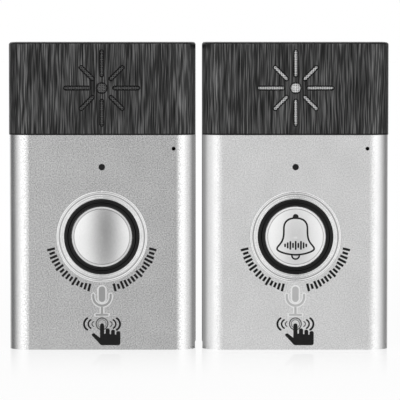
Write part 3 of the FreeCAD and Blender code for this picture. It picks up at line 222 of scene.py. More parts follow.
def blasted_aluminium(name, colour, roughness, contrast):
    """Aluminium, bead blasted and clear anodised: a soft silver with a fine sandy sparkle. The
    beads leave pits of about 0.1 mm; they are drawn at 0.36 mm so that they show. The rounded
    sides, which the beads struck at a slant, have fewer."""
    material, tree, shader, place = new_finish(name)
    sand = add(tree, "ShaderNodeTexNoise",
               {"Vector": place, "Scale": 1 / (0.36 * MM), "Detail": 2.0, "Roughness": 0.6})
    cloud = add(tree, "ShaderNodeTexNoise", {"Vector": place, "Scale": 1 / (9 * MM), "Detail": 2.0})
    speck = add(tree, "ShaderNodeMapRange", {"Value": sand, "From Min": 0.3, "From Max": 0.7})
    facing = add(tree, "ShaderNodeNewGeometry").outputs["Normal"]
    level = add(tree, "ShaderNodeSeparateXYZ", {0: facing}).outputs["Y"]
    flat = add(tree, "ShaderNodeMapRange", {"Value": level, "From Min": -0.9, "From Max": -0.995,
                                            "To Min": 0.3, "To Max": 1.0})
    shown = add(tree, "ShaderNodeMix", {"Factor": flat, "A": 0.5, "B": speck}, data_type="FLOAT")
    tint = add(tree, "ShaderNodeMix", {"Factor": shown, "A": shade(colour, 1 - contrast),
                                       "B": shade(colour, 1 + contrast)}, data_type="RGBA")
    dull = add(tree, "ShaderNodeMapRange", {"Value": cloud, "From Min": 0.3, "From Max": 0.7,
                                            "To Min": roughness - 0.03, "To Max": roughness + 0.03})
    feed(tree, shader, {"Base Color": tint, "Roughness": dull, "Metallic": 1.0})
    raise_grain(tree, shader, sand, 0.001 * MM)
    return material


def brushed_black(name, seam, top):
    """Black anodised aluminium, brushed upright: streaks 0.3 to 0.9 mm wide and several
    millimetres long, some lighter, over a nearly black ground. A thin band above the seam and
    one below the top edge are painted darker: painted shade, the lower one a painted shadow line."""
    material, tree, shader, place = new_finish(name)
    axes = add(tree, "ShaderNodeSeparateXYZ", {"Vector": place}).outputs
    drift = add(tree, "ShaderNodeTexNoise", {"Vector": place, "Scale": 1 / (7 * MM), "Detail": 1.0})
    wave = add(tree, "ShaderNodeMath", {0: drift, 1: 0.4 * MM}, operation="MULTIPLY")
    bent = add(tree, "ShaderNodeMath", {0: axes["X"], 1: wave})
    path = add(tree, "ShaderNodeCombineXYZ", {"X": bent, "Y": axes["Y"], "Z": axes["Z"]})
    layers = []
    # Each layer's width in millimetres, its share of that upright, its start, detail and roughness.
    for width, upright, start, detail, rough in ((0.24, 0.03, (0.0, 0.0, 0.0), 0.0, 0.5),
                                                 (0.38, 0.05, (0.013, 0.0, 0.006), 1.0, 0.6),
                                                 (2.6, 0.12, (0.02, 0.0, 0.01), 2.0, 0.5)):
        laid = add(tree, "ShaderNodeMapping", {"Vector": path, "Location": start,
                                               "Scale": (1.0, 1.0, upright)})
        layers.append(add(tree, "ShaderNodeTexNoise", {"Vector": laid, "Scale": 1 / (width * MM),
                                                       "Detail": detail, "Roughness": rough}))
    hair, fine, broad = layers
    thin = add(tree, "ShaderNodeMix", {"Factor": 0.4, "A": hair, "B": fine}, data_type="FLOAT")
    both = add(tree, "ShaderNodeMix", {"Factor": 0.14, "A": thin, "B": broad}, data_type="FLOAT")
    streak = add(tree, "ShaderNodeMapRange", {"Value": both, "From Min": 0.36, "From Max": 0.64})
    colour = add(tree, "ShaderNodeValToRGB", {"Fac": streak})
    ramp(colour, [(0.0, linear("#121212")), (0.3, linear("#292929")), (0.6, linear("#3D3D3D")),
                  (1.0, linear("#6A6A6A"))])
    # Painted shade: the colour falls to near black in a thin band above the seam, a painted shadow line,
    # and in one below the top edge.
    seam_shadow_band = add(tree, "ShaderNodeMapRange", {"Value": axes["Z"], "From Min": seam + 0.3 * MM,
                                                 "From Max": seam + 0.6 * MM})
    top_edge_shade_band = add(tree, "ShaderNodeMapRange", {"Value": axes["Z"], "From Min": top - 0.2 * MM,
                                                "From Max": top - 0.6 * MM})
    body = add(tree, "ShaderNodeMath", {0: seam_shadow_band, 1: top_edge_shade_band}, operation="MULTIPLY")
    shade_edged = add(tree, "ShaderNodeMix", {"Factor": body, "A": linear("#0C0C0C"), "B": colour},
                data_type="RGBA")
    dull = add(tree, "ShaderNodeMapRange", {"Value": streak, "To Min": 0.5, "To Max": 0.36})
    feed(tree, shader, {"Base Color": shade_edged, "Roughness": dull, "Metallic": 0.75})
    raise_grain(tree, shader, both, 0.012 * MM, 0.6)
    return material


def moulded(name, code, roughness, grain, depth, index=1.45):
    """Moulded plastic or rubber: an even colour, spark-eroded grain of the given size and depth,
    and a slight change of gloss where it has been handled."""
    material, tree, shader, place = new_finish(name)
    grit = add(tree, "ShaderNodeTexNoise", {"Vector": place, "Scale": 1 / grain, "Detail": 3.0})
    patch = add(tree, "ShaderNodeTexNoise", {"Vector": place, "Scale": 1 / (12 * MM), "Detail": 1.0})
    base = linear(code)
    tint = add(tree, "ShaderNodeMix", {"Factor": patch, "A": base, "B": shade(base, 1.2, 0.002)},
               data_type="RGBA")
    dull = add(tree, "ShaderNodeMapRange", {"Value": patch, "From Min": 0.3, "From Max": 0.7,
                                            "To Min": roughness - 0.04, "To Max": roughness + 0.04})
    feed(tree, shader, {"Base Color": tint, "Roughness": dull, "IOR": index})
    raise_grain(tree, shader, grit, depth)
    return material


def turned_metal(name, code, roughness, contrast, line=0.3 * MM, centres=(), groove_shade_radius=None):
    """Metal with fine tool or polishing lines. With centres, the lines run round the nearest one
    of them; otherwise they are plain random scratches of the plating. The last argument is the
    radius of a groove painted as a darker grey ring of shade, with the metal outside it painted
    near white as a highlight."""
    material, tree, shader, place = new_finish(name)
    path = place
    if centres:
        rings = []
        for across, height in centres:
            moved = add(tree, "ShaderNodeMapping", {"Vector": place, "Scale": (1.0, 0.0, 1.0),
                                                    "Location": (-across, 0.0, -height)})
            rings.append(add(tree, "ShaderNodeVectorMath", {0: moved}, operation="LENGTH"))
        radius = add(tree, "ShaderNodeMath", {0: rings[0], 1: rings[-1]}, operation="MINIMUM")
        path = add(tree, "ShaderNodeCombineXYZ", {"X": radius})
    lines = add(tree, "ShaderNodeTexNoise", {"Vector": path, "Scale": 1 / line, "Detail": 4.0,
                                             "Roughness": 0.7})
    speck = add(tree, "ShaderNodeTexNoise", {"Vector": place, "Scale": 1 / (0.4 * MM), "Detail": 2.0})
    blend = add(tree, "ShaderNodeMix", {"Factor": 0.5, "A": lines, "B": speck}, data_type="FLOAT")
    spread = add(tree, "ShaderNodeMapRange", {"Value": blend, "From Min": 0.35, "From Max": 0.65})
    base = linear(code)
    tint = add(tree, "ShaderNodeMix", {"Factor": spread, "A": shade(base, 1 - contrast),
                                       "B": shade(base, 1 + contrast)}, data_type="RGBA")
    # Painted shade and highlight: a darker grey ring just inside the given radius stands for the shade of
    # a groove, and the metal outside it is painted near white as a highlight.
    if groove_shade_radius:
        reach = 10 * MM
        share = add(tree, "ShaderNodeMath", {0: radius, 1: reach}, operation="DIVIDE")
        groove, grey = groove_shade_radius / reach, linear("#C4C4C4")
        level = add(tree, "ShaderNodeValToRGB", {"Fac": share})
        ramp(level, [(0.0, WHITE), (groove - 0.015, WHITE), (groove - 0.005, grey),
                     (groove + 0.005, grey)])
        inner = add(tree, "ShaderNodeMix", {"Factor": 1.0, "A": tint, "B": level}, data_type="RGBA",
                    blend_type="MULTIPLY")
        outside = add(tree, "ShaderNodeMath", {0: share, 1: groove + 0.012}, operation="GREATER_THAN")
        tint = add(tree, "ShaderNodeMix", {"Factor": outside, "A": inner, "B": linear("#FAFAFA")},
                   data_type="RGBA")
    dull = add(tree, "ShaderNodeMapRange", {"Value": spread, "To Min": roughness * 0.85,
                                            "To Max": roughness * 1.15})
    feed(tree, shader, {"Base Color": tint, "Roughness": dull, "Metallic": 1.0})
    raise_grain(tree, shader, blend, 0.002 * MM)
    return material


def printed_ink(name, code):
    """Screen-printed ink: flat, slightly glossy and a little uneven in its cover."""
    material, tree, shader, place = new_finish(name)
    cover = add(tree, "ShaderNodeTexNoise", {"Vector": place, "Scale": 1 / (0.5 * MM), "Detail": 2.0})
    base = linear(code)
    tint = add(tree, "ShaderNodeMix", {"Factor": cover, "A": base, "B": shade(base, 1.0, 0.006)},
               data_type="RGBA")
    feed(tree, shader, {"Base Color": tint, "Roughness": 0.5, "IOR": 1.28})
    raise_grain(tree, shader, cover, 0.003 * MM)
    return material


def circuit_resist(name):
    """Green solder resist over copper: tracks 0.4 mm wide show as a lighter relief."""
    material, tree, shader, place = new_finish(name)
    turned = add(tree, "ShaderNodeMapping", {"Vector": place, "Rotation": (math.pi / 2, 0.0, 0.0)})
    tracks = add(tree, "ShaderNodeTexBrick", {
        "Vector": turned, "Color1": linear("#14502C"), "Color2": linear("#1A5E35"),
        "Mortar": linear("#2F7F4C"), "Scale": 1.0, "Mortar Size": 0.2 * MM, "Brick Width": 3.6 * MM,
        "Row Height": 1.1 * MM})
    feed(tree, shader, {"Base Color": tracks, "Roughness": 0.35})
    raise_grain(tree, shader, tracks.outputs["Fac"], 0.03 * MM)
    return material


def cell_sleeve(name, lower, upper):
    """Shrink sleeve of a dry cell: blue-grey film, a pale band near each end and bare steel
    at the ends themselves."""
    material, tree, shader, place = new_finish(name)
    height = add(tree, "ShaderNodeSeparateXYZ", {"Vector": place}).outputs["Z"]
    share = add(tree, "ShaderNodeMapRange", {"Value": height, "From Min": lower, "From Max": upper})
    bands = add(tree, "ShaderNodeValToRGB", {"Fac": share})
    bands.color_ramp.interpolation = "CONSTANT"
    steel, sleeve, band = linear("#B9BBBD"), linear("#2F4A66"), linear("#C9CED2")
    ramp(bands, [(0.0, steel), (0.09, sleeve), (0.2, band), (0.23, sleeve), (0.77, band),
                 (0.8, sleeve), (0.91, steel)])
    film = add(tree, "ShaderNodeTexNoise", {"Vector": place, "Scale": 1 / (2.5 * MM), "Detail": 2.0})
    feed(tree, shader, {"Base Color": bands, "Roughness": 0.28, "Metallic": 0.35})
    raise_grain(tree, shader, film, 0.01 * MM)
    return material


def felted_capsule(name):
    """Microphone capsule: a plated can whose front is covered with black felt, its fibres 0.1 mm."""
    material, tree, shader, place = new_finish(name)
    facing = add(tree, "ShaderNodeNewGeometry").outputs["True Normal"]
    level = add(tree, "ShaderNodeSeparateXYZ", {0: facing}).outputs["Y"]
    front = add(tree, "ShaderNodeMath", {0: level, 1: -0.9}, operation="LESS_THAN")
    fibre = add(tree, "ShaderNodeTexNoise", {"Vector": place, "Scale": 1 / (0.1 * MM), "Detail": 2.0})
    felt = add(tree, "ShaderNodeMix", {"Factor": fibre, "A": linear("#060606"),
                                       "B": linear("#101010")}, data_type="RGBA")
    tint = add(tree, "ShaderNodeMix", {"Factor": front, "A": linear("#B4B0A8"), "B": felt},
               data_type="RGBA")
    plated = add(tree, "ShaderNodeMath", {0: 1.0, 1: front}, operation="SUBTRACT")
    dull = add(tree, "ShaderNodeMapRange", {"Value": front, "To Min": 0.25, "To Max": 0.95})
    feed(tree, shader, {"Base Color": tint, "Metallic": plated, "Roughness": dull})
    return material


def smoked_plastic(name):
    """Smoked polycarbonate light pipe: nearly black until the light behind it is on."""
    material, tree, shader, place = new_finish(name)
    flow = add(tree, "ShaderNodeTexNoise", {"Vector": place, "Scale": 1 / (0.8 * MM), "Detail": 1.0})
    tint = add(tree, "ShaderNodeMix", {"Factor": flow, "A": linear("#060607"), "B": linear("#0E0E10")},
               data_type="RGBA")
    feed(tree, shader, {"Base Color": tint, "Roughness": 0.2, "IOR": 1.4})
    return material


# Flat signs

def arc(across, height, radius, start, end, step=6.0):
    """Points on an arc between two angles in degrees, counted from the right, upwards."""
    count = max(2, int(abs(end - start) / step) + 1)
    angles = [math.radians(start + (end - start) * k / (count - 1)) for k in range(count)]
    return [(across + radius * math.cos(a), height + radius * math.sin(a)) for a in angles]


def bend(first, pull, second_pull, last, count=12):
    """Points on a cubic curve, without the last one."""
    points = []
    for k in range(count):
        t = k / count
        weights = ((1 - t) ** 3, 3 * t * (1 - t) ** 2, 3 * t * t * (1 - t), t ** 3)
        ends = (first, pull, second_pull, last)
        points.append(tuple(sum(w * p[axis] for w, p in zip(weights, ends)) for axis in (0, 1)))
    return points


def rounded(corners):
    """A closed outline with rounded corners, each given as across, height and radius."""
    points = []
    steps, pull = 5, 0.552
    for k, (across, height, radius) in enumerate(corners):
        here = Vector((across, height))
        before = Vector(corners[k - 1][:2]) - here
        after = Vector(corners[(k + 1) % len(corners)][:2]) - here
        half = before.angle(after) / 2
        reach = min(radius / math.tan(half), before.length * 0.49, after.length * 0.49)
        start, end = here + before.normalized() * reach, here + after.normalized() * reach
        points += bend(start, start.lerp(here, pull), end.lerp(here, pull), end, steps)
        points.append(tuple(end))
    return points


def plate(half, bottom, top, radius):
    """A rounded rectangle about the middle line."""
    return rounded([(-half, bottom, radius), (half, bottom, radius), (half, top, radius),
                    (-half, top, radius)])


def stroke(points, width, closed=False):
    """The outline of a line of the given width: one loop, or two where the line is closed."""
    half = width / 2
    count = len(points)
    left, right = [], []
    for k, point in enumerate(points):
        before = points[k - 1] if closed or k else point
        after = points[(k + 1) % count] if closed or k < count - 1 else point
        along = (Vector(after) - Vector(before)).normalized()
        side = Vector((-along.y, along.x)) * half
        left.append(tuple(Vector(point) + side))
        right.append(tuple(Vector(point) - side))
    if closed:
        return [left, right]
    caps = []
    for tip, previous in ((points[-1], points[-2]), (points[0], points[1])):
        heading = math.degrees(math.atan2(tip[1] - previous[1], tip[0] - previous[0]))
        caps.append(arc(tip[0], tip[1], half, heading + 90, heading - 90, 30)[1:-1])
    return [left + caps[0] + right[::-1] + caps[1]]


def ring(height, outer, inner):
    """A ring about the middle line."""
    return [arc(0, height, radius, 0, 354) for radius in (outer, inner)]


def stadium(start, end, radius):
    """A slot's outline from one arc centre straight up to the other."""
    return arc(0, end, radius, 0, 180, 15) + arc(0, start, radius, 180, 360, 15)


def turned_by(loop, degrees):
    """The loop turned about the origin."""
    cos, sin = math.cos(math.radians(degrees)), math.sin(math.radians(degrees))
    return [(x * cos - z * sin, x * sin + z * cos) for x, z in loop]


def sign(name, loops, origin, thickness, material, depth=None):
    """A thin plate from closed loops in millimetres about an origin on the front. A loop inside
    another one is a hole. It sinks a little into its carrier. depth gives how far the carrier
    lies behind the origin at a point; long edges are then split to follow it."""
    sink, longest, rounds = 0.006, 0.7, 4
    curve = bpy.data.curves.new(name, "CURVE")
    curve.dimensions = "2D"
    curve.fill_mode = "BOTH"
    curve.extrude = (thickness + sink) / 2
    for loop in loops:
        spline = curve.splines.new("POLY")
        spline.points.add(len(loop) - 1)
        for point, (across, height) in zip(spline.points, loop):
            point.co = (across, height, 0.0, 1.0)
        spline.use_cyclic_u = True
    draft = bpy.data.objects.new(name, curve)
    bpy.context.scene.collection.objects.link(draft)
    mesh = plain_mesh(draft)
    bpy.data.objects.remove(draft)
    work = bmesh.new()
    work.from_mesh(mesh)
    bpy.data.meshes.remove(mesh)
    for _ in range(rounds if depth else 0):
        long_edges = [edge for edge in work.edges if edge.calc_length() > longest]
        bmesh.ops.subdivide_edges(work, edges=long_edges, cuts=1)
        bmesh.ops.triangulate(work, faces=work.faces[:])
    for vert in work.verts:
        across, height, rise = vert.co
        behind = depth(across, height) if depth else 0.0
        outward = rise + (thickness - sink) / 2
        vert.co = origin + Vector((across, behind - outward, height)) * MM
    return mesh_piece(name, work, material, smooth=False)


# Patterns

def woven_mesh_tree():
    """A round cloth of flattened wires that pass over and under each other."""
    tree, given = tree_with("woven_mesh", Radius="Float", Spacing="Float", Wire="Float", Weave="Float",
                            Centre="Vector", Material="Material")
    radius, spacing = given["Radius"], given["Spacing"]
    # As many wires as fit, the first one half their whole width from the middle.
    span = add(tree, "ShaderNodeMath", {0: radius, 1: 2.0}, operation="MULTIPLY")
    share = add(tree, "ShaderNodeMath", {0: span, 1: spacing}, operation="DIVIDE")
    count = add(tree, "ShaderNodeMath", {0: share}, operation="FLOOR")
    gaps = add(tree, "ShaderNodeMath", {0: count, 1: -1.0})
    half = add(tree, "ShaderNodeMath", {0: gaps, 1: -0.5}, operation="MULTIPLY")
    first = add(tree, "ShaderNodeMath", {0: half, 1: spacing}, operation="MULTIPLY")
    # Each wire reaches as far as the circle lets it.
    here = add(tree, "GeometryNodeInputPosition")
    away = add(tree, "ShaderNodeVectorMath", {0: here}, operation="LENGTH")
    square = add(tree, "ShaderNodeMath", {0: away, 1: 2.0}, operation="POWER")
    whole = add(tree, "ShaderNodeMath", {0: radius, 1: 2.0}, operation="POWER")
    left = add(tree, "ShaderNodeMath", {0: whole, 1: square}, operation="SUBTRACT")
    reach = add(tree, "ShaderNodeMath", {0: left, 1: 0.5}, operation="POWER")
    # It swings to and fro once in two spacings.
    axes = add(tree, "ShaderNodeSeparateXYZ", {0: here}).outputs
    total = add(tree, "ShaderNodeMath", {0: axes["X"], 1: axes["Z"]})
    turns = add(tree, "ShaderNodeMath", {0: total, 1: spacing}, operation="DIVIDE")
    angle = add(tree, "ShaderNodeMath", {0: turns, 1: math.pi}, operation="MULTIPLY")
    swing = add(tree, "ShaderNodeMath", {0: angle}, operation="COSINE")
    lift = add(tree, "ShaderNodeMath", {0: swing, 1: given["Weave"]}, operation="MULTIPLY")
    bit = add(tree, "ShaderNodeMath", {0: spacing, 1: 0.25}, operation="MULTIPLY")
    section = add(tree, "GeometryNodeCurvePrimitiveCircle", {"Resolution": 5, "Radius": given["Wire"]})
    both = add(tree, "GeometryNodeJoinGeometry")
    flattening = 0.82
    for along, across, sense in ((0, 2, 1.0), (2, 0, -1.0)):
        step = add(tree, "ShaderNodeCombineXYZ", {across: spacing})
        start = add(tree, "ShaderNodeCombineXYZ", {across: first})
        row = add(tree, "GeometryNodeMeshLine", {"Count": count, "Start Location": start, "Offset": step})
        size = add(tree, "ShaderNodeCombineXYZ", {0: 1.0, 1: 1.0, 2: 1.0})
        feed(tree, size, {along: reach})
        tips = [Vector(), Vector()]
        tips[0][along], tips[1][along] = -1.0, 1.0
        wire = add(tree, "GeometryNodeCurvePrimitiveLine", {"Start": tips[0], "End": tips[1]})
        laid = add(tree, "GeometryNodeInstanceOnPoints", {"Points": row, "Instance": wire, "Scale": size})
        real = add(tree, "GeometryNodeRealizeInstances", {0: laid})
        cut = add(tree, "GeometryNodeResampleCurve", {"Curve": real, "Length": bit}, mode="LENGTH")
        side = add(tree, "ShaderNodeMath", {0: lift, 1: sense}, operation="MULTIPLY")
        shift = add(tree, "ShaderNodeCombineXYZ", {"Y": side})
        wavy = add(tree, "GeometryNodeSetPosition", {"Geometry": cut, "Offset": shift})
        tube = add(tree, "GeometryNodeCurveToMesh", {"Curve": wavy, "Profile Curve": section,
                                                     "Fill Caps": True})
        # The tube is flattened about the wave that its wire follows.
        rise = add(tree, "ShaderNodeMath", {0: axes["Y"], 1: side}, operation="SUBTRACT")
        press = add(tree, "ShaderNodeMath", {0: rise, 1: -flattening}, operation="MULTIPLY")
        squeeze = add(tree, "ShaderNodeCombineXYZ", {"Y": press})
        flat = add(tree, "GeometryNodeSetPosition", {"Geometry": tube, "Offset": squeeze})
        feed(tree, both, {0: flat})
    placed = add(tree, "GeometryNodeTransform", {"Geometry": both, "Translation": given["Centre"]})
    smooth = add(tree, "GeometryNodeSetShadeSmooth", {"Geometry": placed})
    return finish_tree(tree, smooth, given["Material"])


def level_marks_tree():
    """Upright bars of uneven length, fanned out along an arc."""
    tree, given = tree_with("level_marks", Count="Int", Radius="Float", First="Float", Last="Float",
                            Width="Float", Shortest="Float", Longest="Float", Thickness="Float",
                            Seed="Int", Centre="Vector", Material="Material")
    spots = add(tree, "GeometryNodePoints", {"Count": given["Count"]})
    order = add(tree, "GeometryNodeInputIndex")
    gaps = add(tree, "ShaderNodeMath", {0: given["Count"], 1: -1.0})
    share = add(tree, "ShaderNodeMath", {0: order, 1: gaps}, operation="DIVIDE")
    turn = add(tree, "ShaderNodeMapRange", {"Value": share, "To Min": given["First"],
                                            "To Max": given["Last"]})
    across = add(tree, "ShaderNodeMath", {0: turn}, operation="SINE")
    down = add(tree, "ShaderNodeMath", {0: turn}, operation="COSINE")
    minus = add(tree, "ShaderNodeMath", {0: down, 1: -1.0}, operation="MULTIPLY")
    heading = add(tree, "ShaderNodeCombineXYZ", {"X": across, "Z": minus})
    spot = add(tree, "ShaderNodeVectorMath", {0: heading, "Scale": given["Radius"]}, operation="SCALE")
    laid = add(tree, "GeometryNodeSetPosition", {"Geometry": spots, "Position": spot})
    length = add(tree, "FunctionNodeRandomValue", {"Min": given["Shortest"], "Max": given["Longest"],
                                                   "Seed": given["Seed"]}, data_type="FLOAT")
    frame = add(tree, "GeometryNodeCurvePrimitiveQuadrilateral", {"Width": given["Width"], "Height": 1.0})
    face = add(tree, "GeometryNodeFillCurve", {"Curve": frame})
    raised = add(tree, "GeometryNodeExtrudeMesh", {"Mesh": face, "Individual": False,
                                                   "Offset Scale": given["Thickness"]})
    back = add(tree, "GeometryNodeFlipFaces", {"Mesh": face})
    closed = add(tree, "GeometryNodeJoinGeometry", {0: raised})
    feed(tree, closed, {0: back})
    upright = add(tree, "GeometryNodeTransform", {"Geometry": closed,
                                                  "Rotation": (math.pi / 2, 0.0, 0.0)})
    size = add(tree, "ShaderNodeCombineXYZ", {"X": 1.0, "Y": 1.0, "Z": length})
    back_turn = add(tree, "ShaderNodeMath", {0: turn, 1: -1.0}, operation="MULTIPLY")
    lean = add(tree, "ShaderNodeCombineXYZ", {"Y": back_turn})
    bars = add(tree, "GeometryNodeInstanceOnPoints", {"Points": laid, "Instance": upright,
                                                      "Rotation": lean, "Scale": size})
    placed = add(tree, "GeometryNodeTransform", {"Geometry": bars, "Translation": given["Centre"]})
    real = add(tree, "GeometryNodeRealizeInstances", {0: placed})
    merged = add(tree, "GeometryNodeMergeByDistance", {"Geometry": real, "Distance": 1e-6})
    return finish_tree(tree, merged, given["Material"])


def screw_set_tree():
    """One screw on each point of the mesh, each turned to its own angle about the Y axis."""
    tree, given = tree_with("screw_set", Seats="Geometry", Screw="Object", Seed="Int",
                            Material="Material")
    pattern = add(tree, "GeometryNodeObjectInfo", {"Object": given["Screw"]})
    turn = add(tree, "FunctionNodeRandomValue", {"Min": 0.0, "Max": math.pi / 2, "Seed": given["Seed"]},
               data_type="FLOAT")
    lean = add(tree, "ShaderNodeCombineXYZ", {"Y": turn})
    laid = add(tree, "GeometryNodeInstanceOnPoints", {
        "Points": given["Seats"], "Instance": pattern.outputs["Geometry"], "Rotation": lean})
    return finish_tree(tree, laid, given["Material"])


def screw_mesh(name, length, shank, head, head_height):
    """A pan-head screw with a cross recess and a rolled thread, its head's seat at the origin and
    its tip towards -Y. All sizes in metres."""
    work = bmesh.new()
    around = 48
    blade, blade_half, recess = head * 0.62, head * 0.13, head_height * 0.62
    core, pitch = shank * 0.8, shank * 0.75

    def loop(radius_at, depth_at):
        spots = []
        for k in range(around):
            angle = 2 * math.pi * k / around
            radius = radius_at(angle)
            spots.append(work.verts.new((radius * math.cos(angle), depth_at(angle, radius),
                                         radius * math.sin(angle))))
        return spots

    def top_depth(angle, radius):
        dome = head_height * (0.78 + 0.22 * math.sqrt(max(0.0, 1 - (radius / head) ** 2)))
        x, z = abs(radius * math.cos(angle)), abs(radius * math.sin(angle))
        inside = max(min((blade - x) / (blade * 0.45), (blade_half * 1.7 - z) / (blade_half * 0.9)),
                     min((blade - z) / (blade * 0.45), (blade_half * 1.7 - x) / (blade_half * 0.9)))
        return dome - recess * max(0.0, min(1.0, inside))

    loops = []
    rows = int(length / pitch * 6)
    for k in range(rows + 1):
        depth = -length + length * k / rows
        taper = min(1.0, (depth + length) / (pitch * 1.5) + 0.35)

        def radius_at(angle, depth=depth, taper=taper):
            phase = (depth / pitch + angle / (2 * math.pi)) % 1.0
            ridge = max(0.0, 1 - abs(phase - 0.5) * 3.2)
            return (core + (shank - core) * ridge) * taper

        loops.append(loop(radius_at, lambda angle, radius, depth=depth: depth))
    for share, level in ((0.97, 0.0), (1.0, 0.06), (1.0, 0.66)):
        loops.append(loop(lambda angle, share=share: head * share,
                          lambda angle, radius, level=level: head_height * level))
    for share in (0.97, 0.9, 0.8, 0.7, 0.6, 0.5, 0.4, 0.3, 0.2, 0.1):
        loops.append(loop(lambda angle, share=share: head * share, top_depth))
    for first, second in zip(loops, loops[1:]):
        for k in range(around):
            nxt = (k + 1) % around
            work.faces.new((first[k], first[nxt], second[nxt], second[k]))
    for end, depth in ((loops[0], -length), (loops[-1], top_depth(0.0, 0.0))):
        pole = work.verts.new((0.0, depth, 0.0))
        for k in range(around):
            work.faces.new((end[k], end[(k + 1) % around], pole))
    bmesh.ops.recalc_face_normals(work, faces=work.faces)
    mesh = bpy.data.meshes.new(name)
    work.to_mesh(mesh)
    work.free()
    return mesh


def lathed(name, profile, centre, material):
    """A ring turned about the Y axis through a point, from a closed profile of radius and depth."""
    work = bmesh.new()
    around = 72
    rows = []
    for k in range(around):
        angle = math.tau * k / around
        rows.append([work.verts.new((centre.x + radius * math.cos(angle), depth,
                                     centre.z + radius * math.sin(angle))) for radius, depth in profile])
    for row, following in zip(rows, rows[1:] + rows[:1]):
        for k in range(len(profile)):
            work.faces.new((row[k - 1], row[k], following[k], following[k - 1]))
    return mesh_piece(name, work, material)


def in_sunburst(point):
    """True where a point, in millimetres from the middle, lies within a slot or the middle hole."""
    margin = 0.1
    if math.hypot(point.x, point.z) < HOLE_RADIUS - margin:
        return True
    for degrees, reach in SUNBURST:
        turn = math.radians(degrees)
        along = point.x * -math.sin(turn) + point.z * math.cos(turn)
        across = point.x * math.cos(turn) + point.z * math.sin(turn)
        nearest = min(max(along, SLOT_START), reach)
        if math.hypot(across, along - nearest) < SLOT_RADIUS - margin:
            return True
    return False


def cut_to_sunburst(cloth, origin, spacing):
    """Keeps the stretches of each wire that lie within the sunburst, and closes their ends."""
    work = bmesh.new()
    work.from_mesh(cloth.data)
    outside, seen = [], set()
    for seed in work.faces:
        if seed in seen:
            continue
        seen.add(seed)
        wire = [seed]
        for face in wire:
            for other in {near for edge in face.edges for near in edge.link_faces} - seen:
                seen.add(other)
                wire.append(other)
        spots = [vert.co - origin for face in wire for vert in face.verts]
        spans = {axis: (min(spot[axis] for spot in spots), max(spot[axis] for spot in spots))
                 for axis in (0, 2)}
        along = max(spans, key=lambda axis: spans[axis][1] - spans[axis][0])
        spot = Vector()
        spot[2 - along] = sum(spans[2 - along]) / 2 / MM
        stretch_start, shown = -math.inf, False
        runs = {face: (face.calc_center_median() - origin)[along] for face in wire}
        for face in sorted(wire, key=runs.get):
            if runs[face] - stretch_start > spacing / 8:
                stretch_start = runs[face]
                spot[along] = stretch_start / MM
                shown = in_sunburst(spot)
            if not shown:
                outside.append(face)
    bmesh.ops.delete(work, geom=outside, context="FACES")
    cut_ends = [edge for edge in work.edges if edge.is_boundary]
    bmesh.ops.holes_fill(work, edges=cut_ends, sides=0)
    bmesh.ops.recalc_face_normals(work, faces=work.faces)
    work.to_mesh(cloth.data)
    work.free()
    for face in cloth.data.polygons:
        face.use_smooth = len(face.vertices) == 4


# What a user would change

class DOORBELL_PG_case(bpy.types.PropertyGroup):
    indoor_silver: bpy.props.FloatVectorProperty(
        name="Indoor silver", description="Colour of the indoor unit's aluminium",
        subtype="COLOR", size=4, min=0.0, max=1.0, default=linear("#D4D4D4"))
    outdoor_silver: bpy.props.FloatVectorProperty(
        name="Outdoor silver", description="Colour of the outdoor unit's aluminium",
        subtype="COLOR", size=4, min=0.0, max=1.0, default=linear("#DEDEDE"))
    silver_roughness: bpy.props.FloatProperty(
        name="Silver roughness", description="Roughness of the blasted aluminium",
        min=0.05, max=0.95, default=0.225)


class DOORBELL_PG_mesh(bpy.types.PropertyGroup):
    spacing: bpy.props.FloatProperty(
        name="Wire spacing", description="Distance between two wires of the speaker mesh",
        subtype="DISTANCE", unit="LENGTH", min=0.3 * MM, max=2 * MM, default=0.55 * MM, precision=5)
    wire: bpy.props.FloatProperty(
        name="Wire half width", description="Half the width of a flattened wire",
        subtype="DISTANCE", unit="LENGTH", min=0.05 * MM, max=0.5 * MM, default=0.165 * MM, precision=6)


class DOORBELL_PG_signs(bpy.types.PropertyGroup):
    ink_thickness: bpy.props.FloatProperty(
        name="Ink thickness", description="Thickness of the printed ink, in millimetres",
        min=0.01, max=0.1, default=0.03)
    mark_count: bpy.props.IntProperty(
        name="Level marks", description="Number of bars in each arc beside the button",
        min=3, max=40, default=15)
    mark_radius: bpy.props.FloatProperty(
        name="Mark radius", description="Radius of the two arcs of bars",
        subtype="DISTANCE", unit="LENGTH", min=15 * MM, max=20 * MM, default=16.25 * MM, precision=5)
    mark_seed: bpy.props.IntProperty(
        name="Mark seed", description="Seed of the bars' lengths", min=0, default=7)


class DOORBELL_PG_stage(bpy.types.PropertyGroup):
    camera_distance: bpy.props.FloatProperty(
        name="Camera distance", description="From the camera to the pair",
        subtype="DISTANCE", unit="LENGTH", min=0.2, max=4.0, default=1.05)
    camera_height: bpy.props.FloatProperty(
        name="Camera height", description="Height of the camera above the floor",
        subtype="DISTANCE", unit="LENGTH", min=0.0, max=2.0, default=0.105)
    view_width: bpy.props.FloatProperty(
        name="View width", description="Width that the camera takes in at the pair",
        subtype="DISTANCE", unit="LENGTH", min=0.05, max=1.0, default=0.1246, precision=5)
    box_light: bpy.props.FloatProperty(
        name="Soft box", description="Brightness of the two soft boxes beside the camera",
        min=0.0, max=20.0, default=2.6)


# Operators

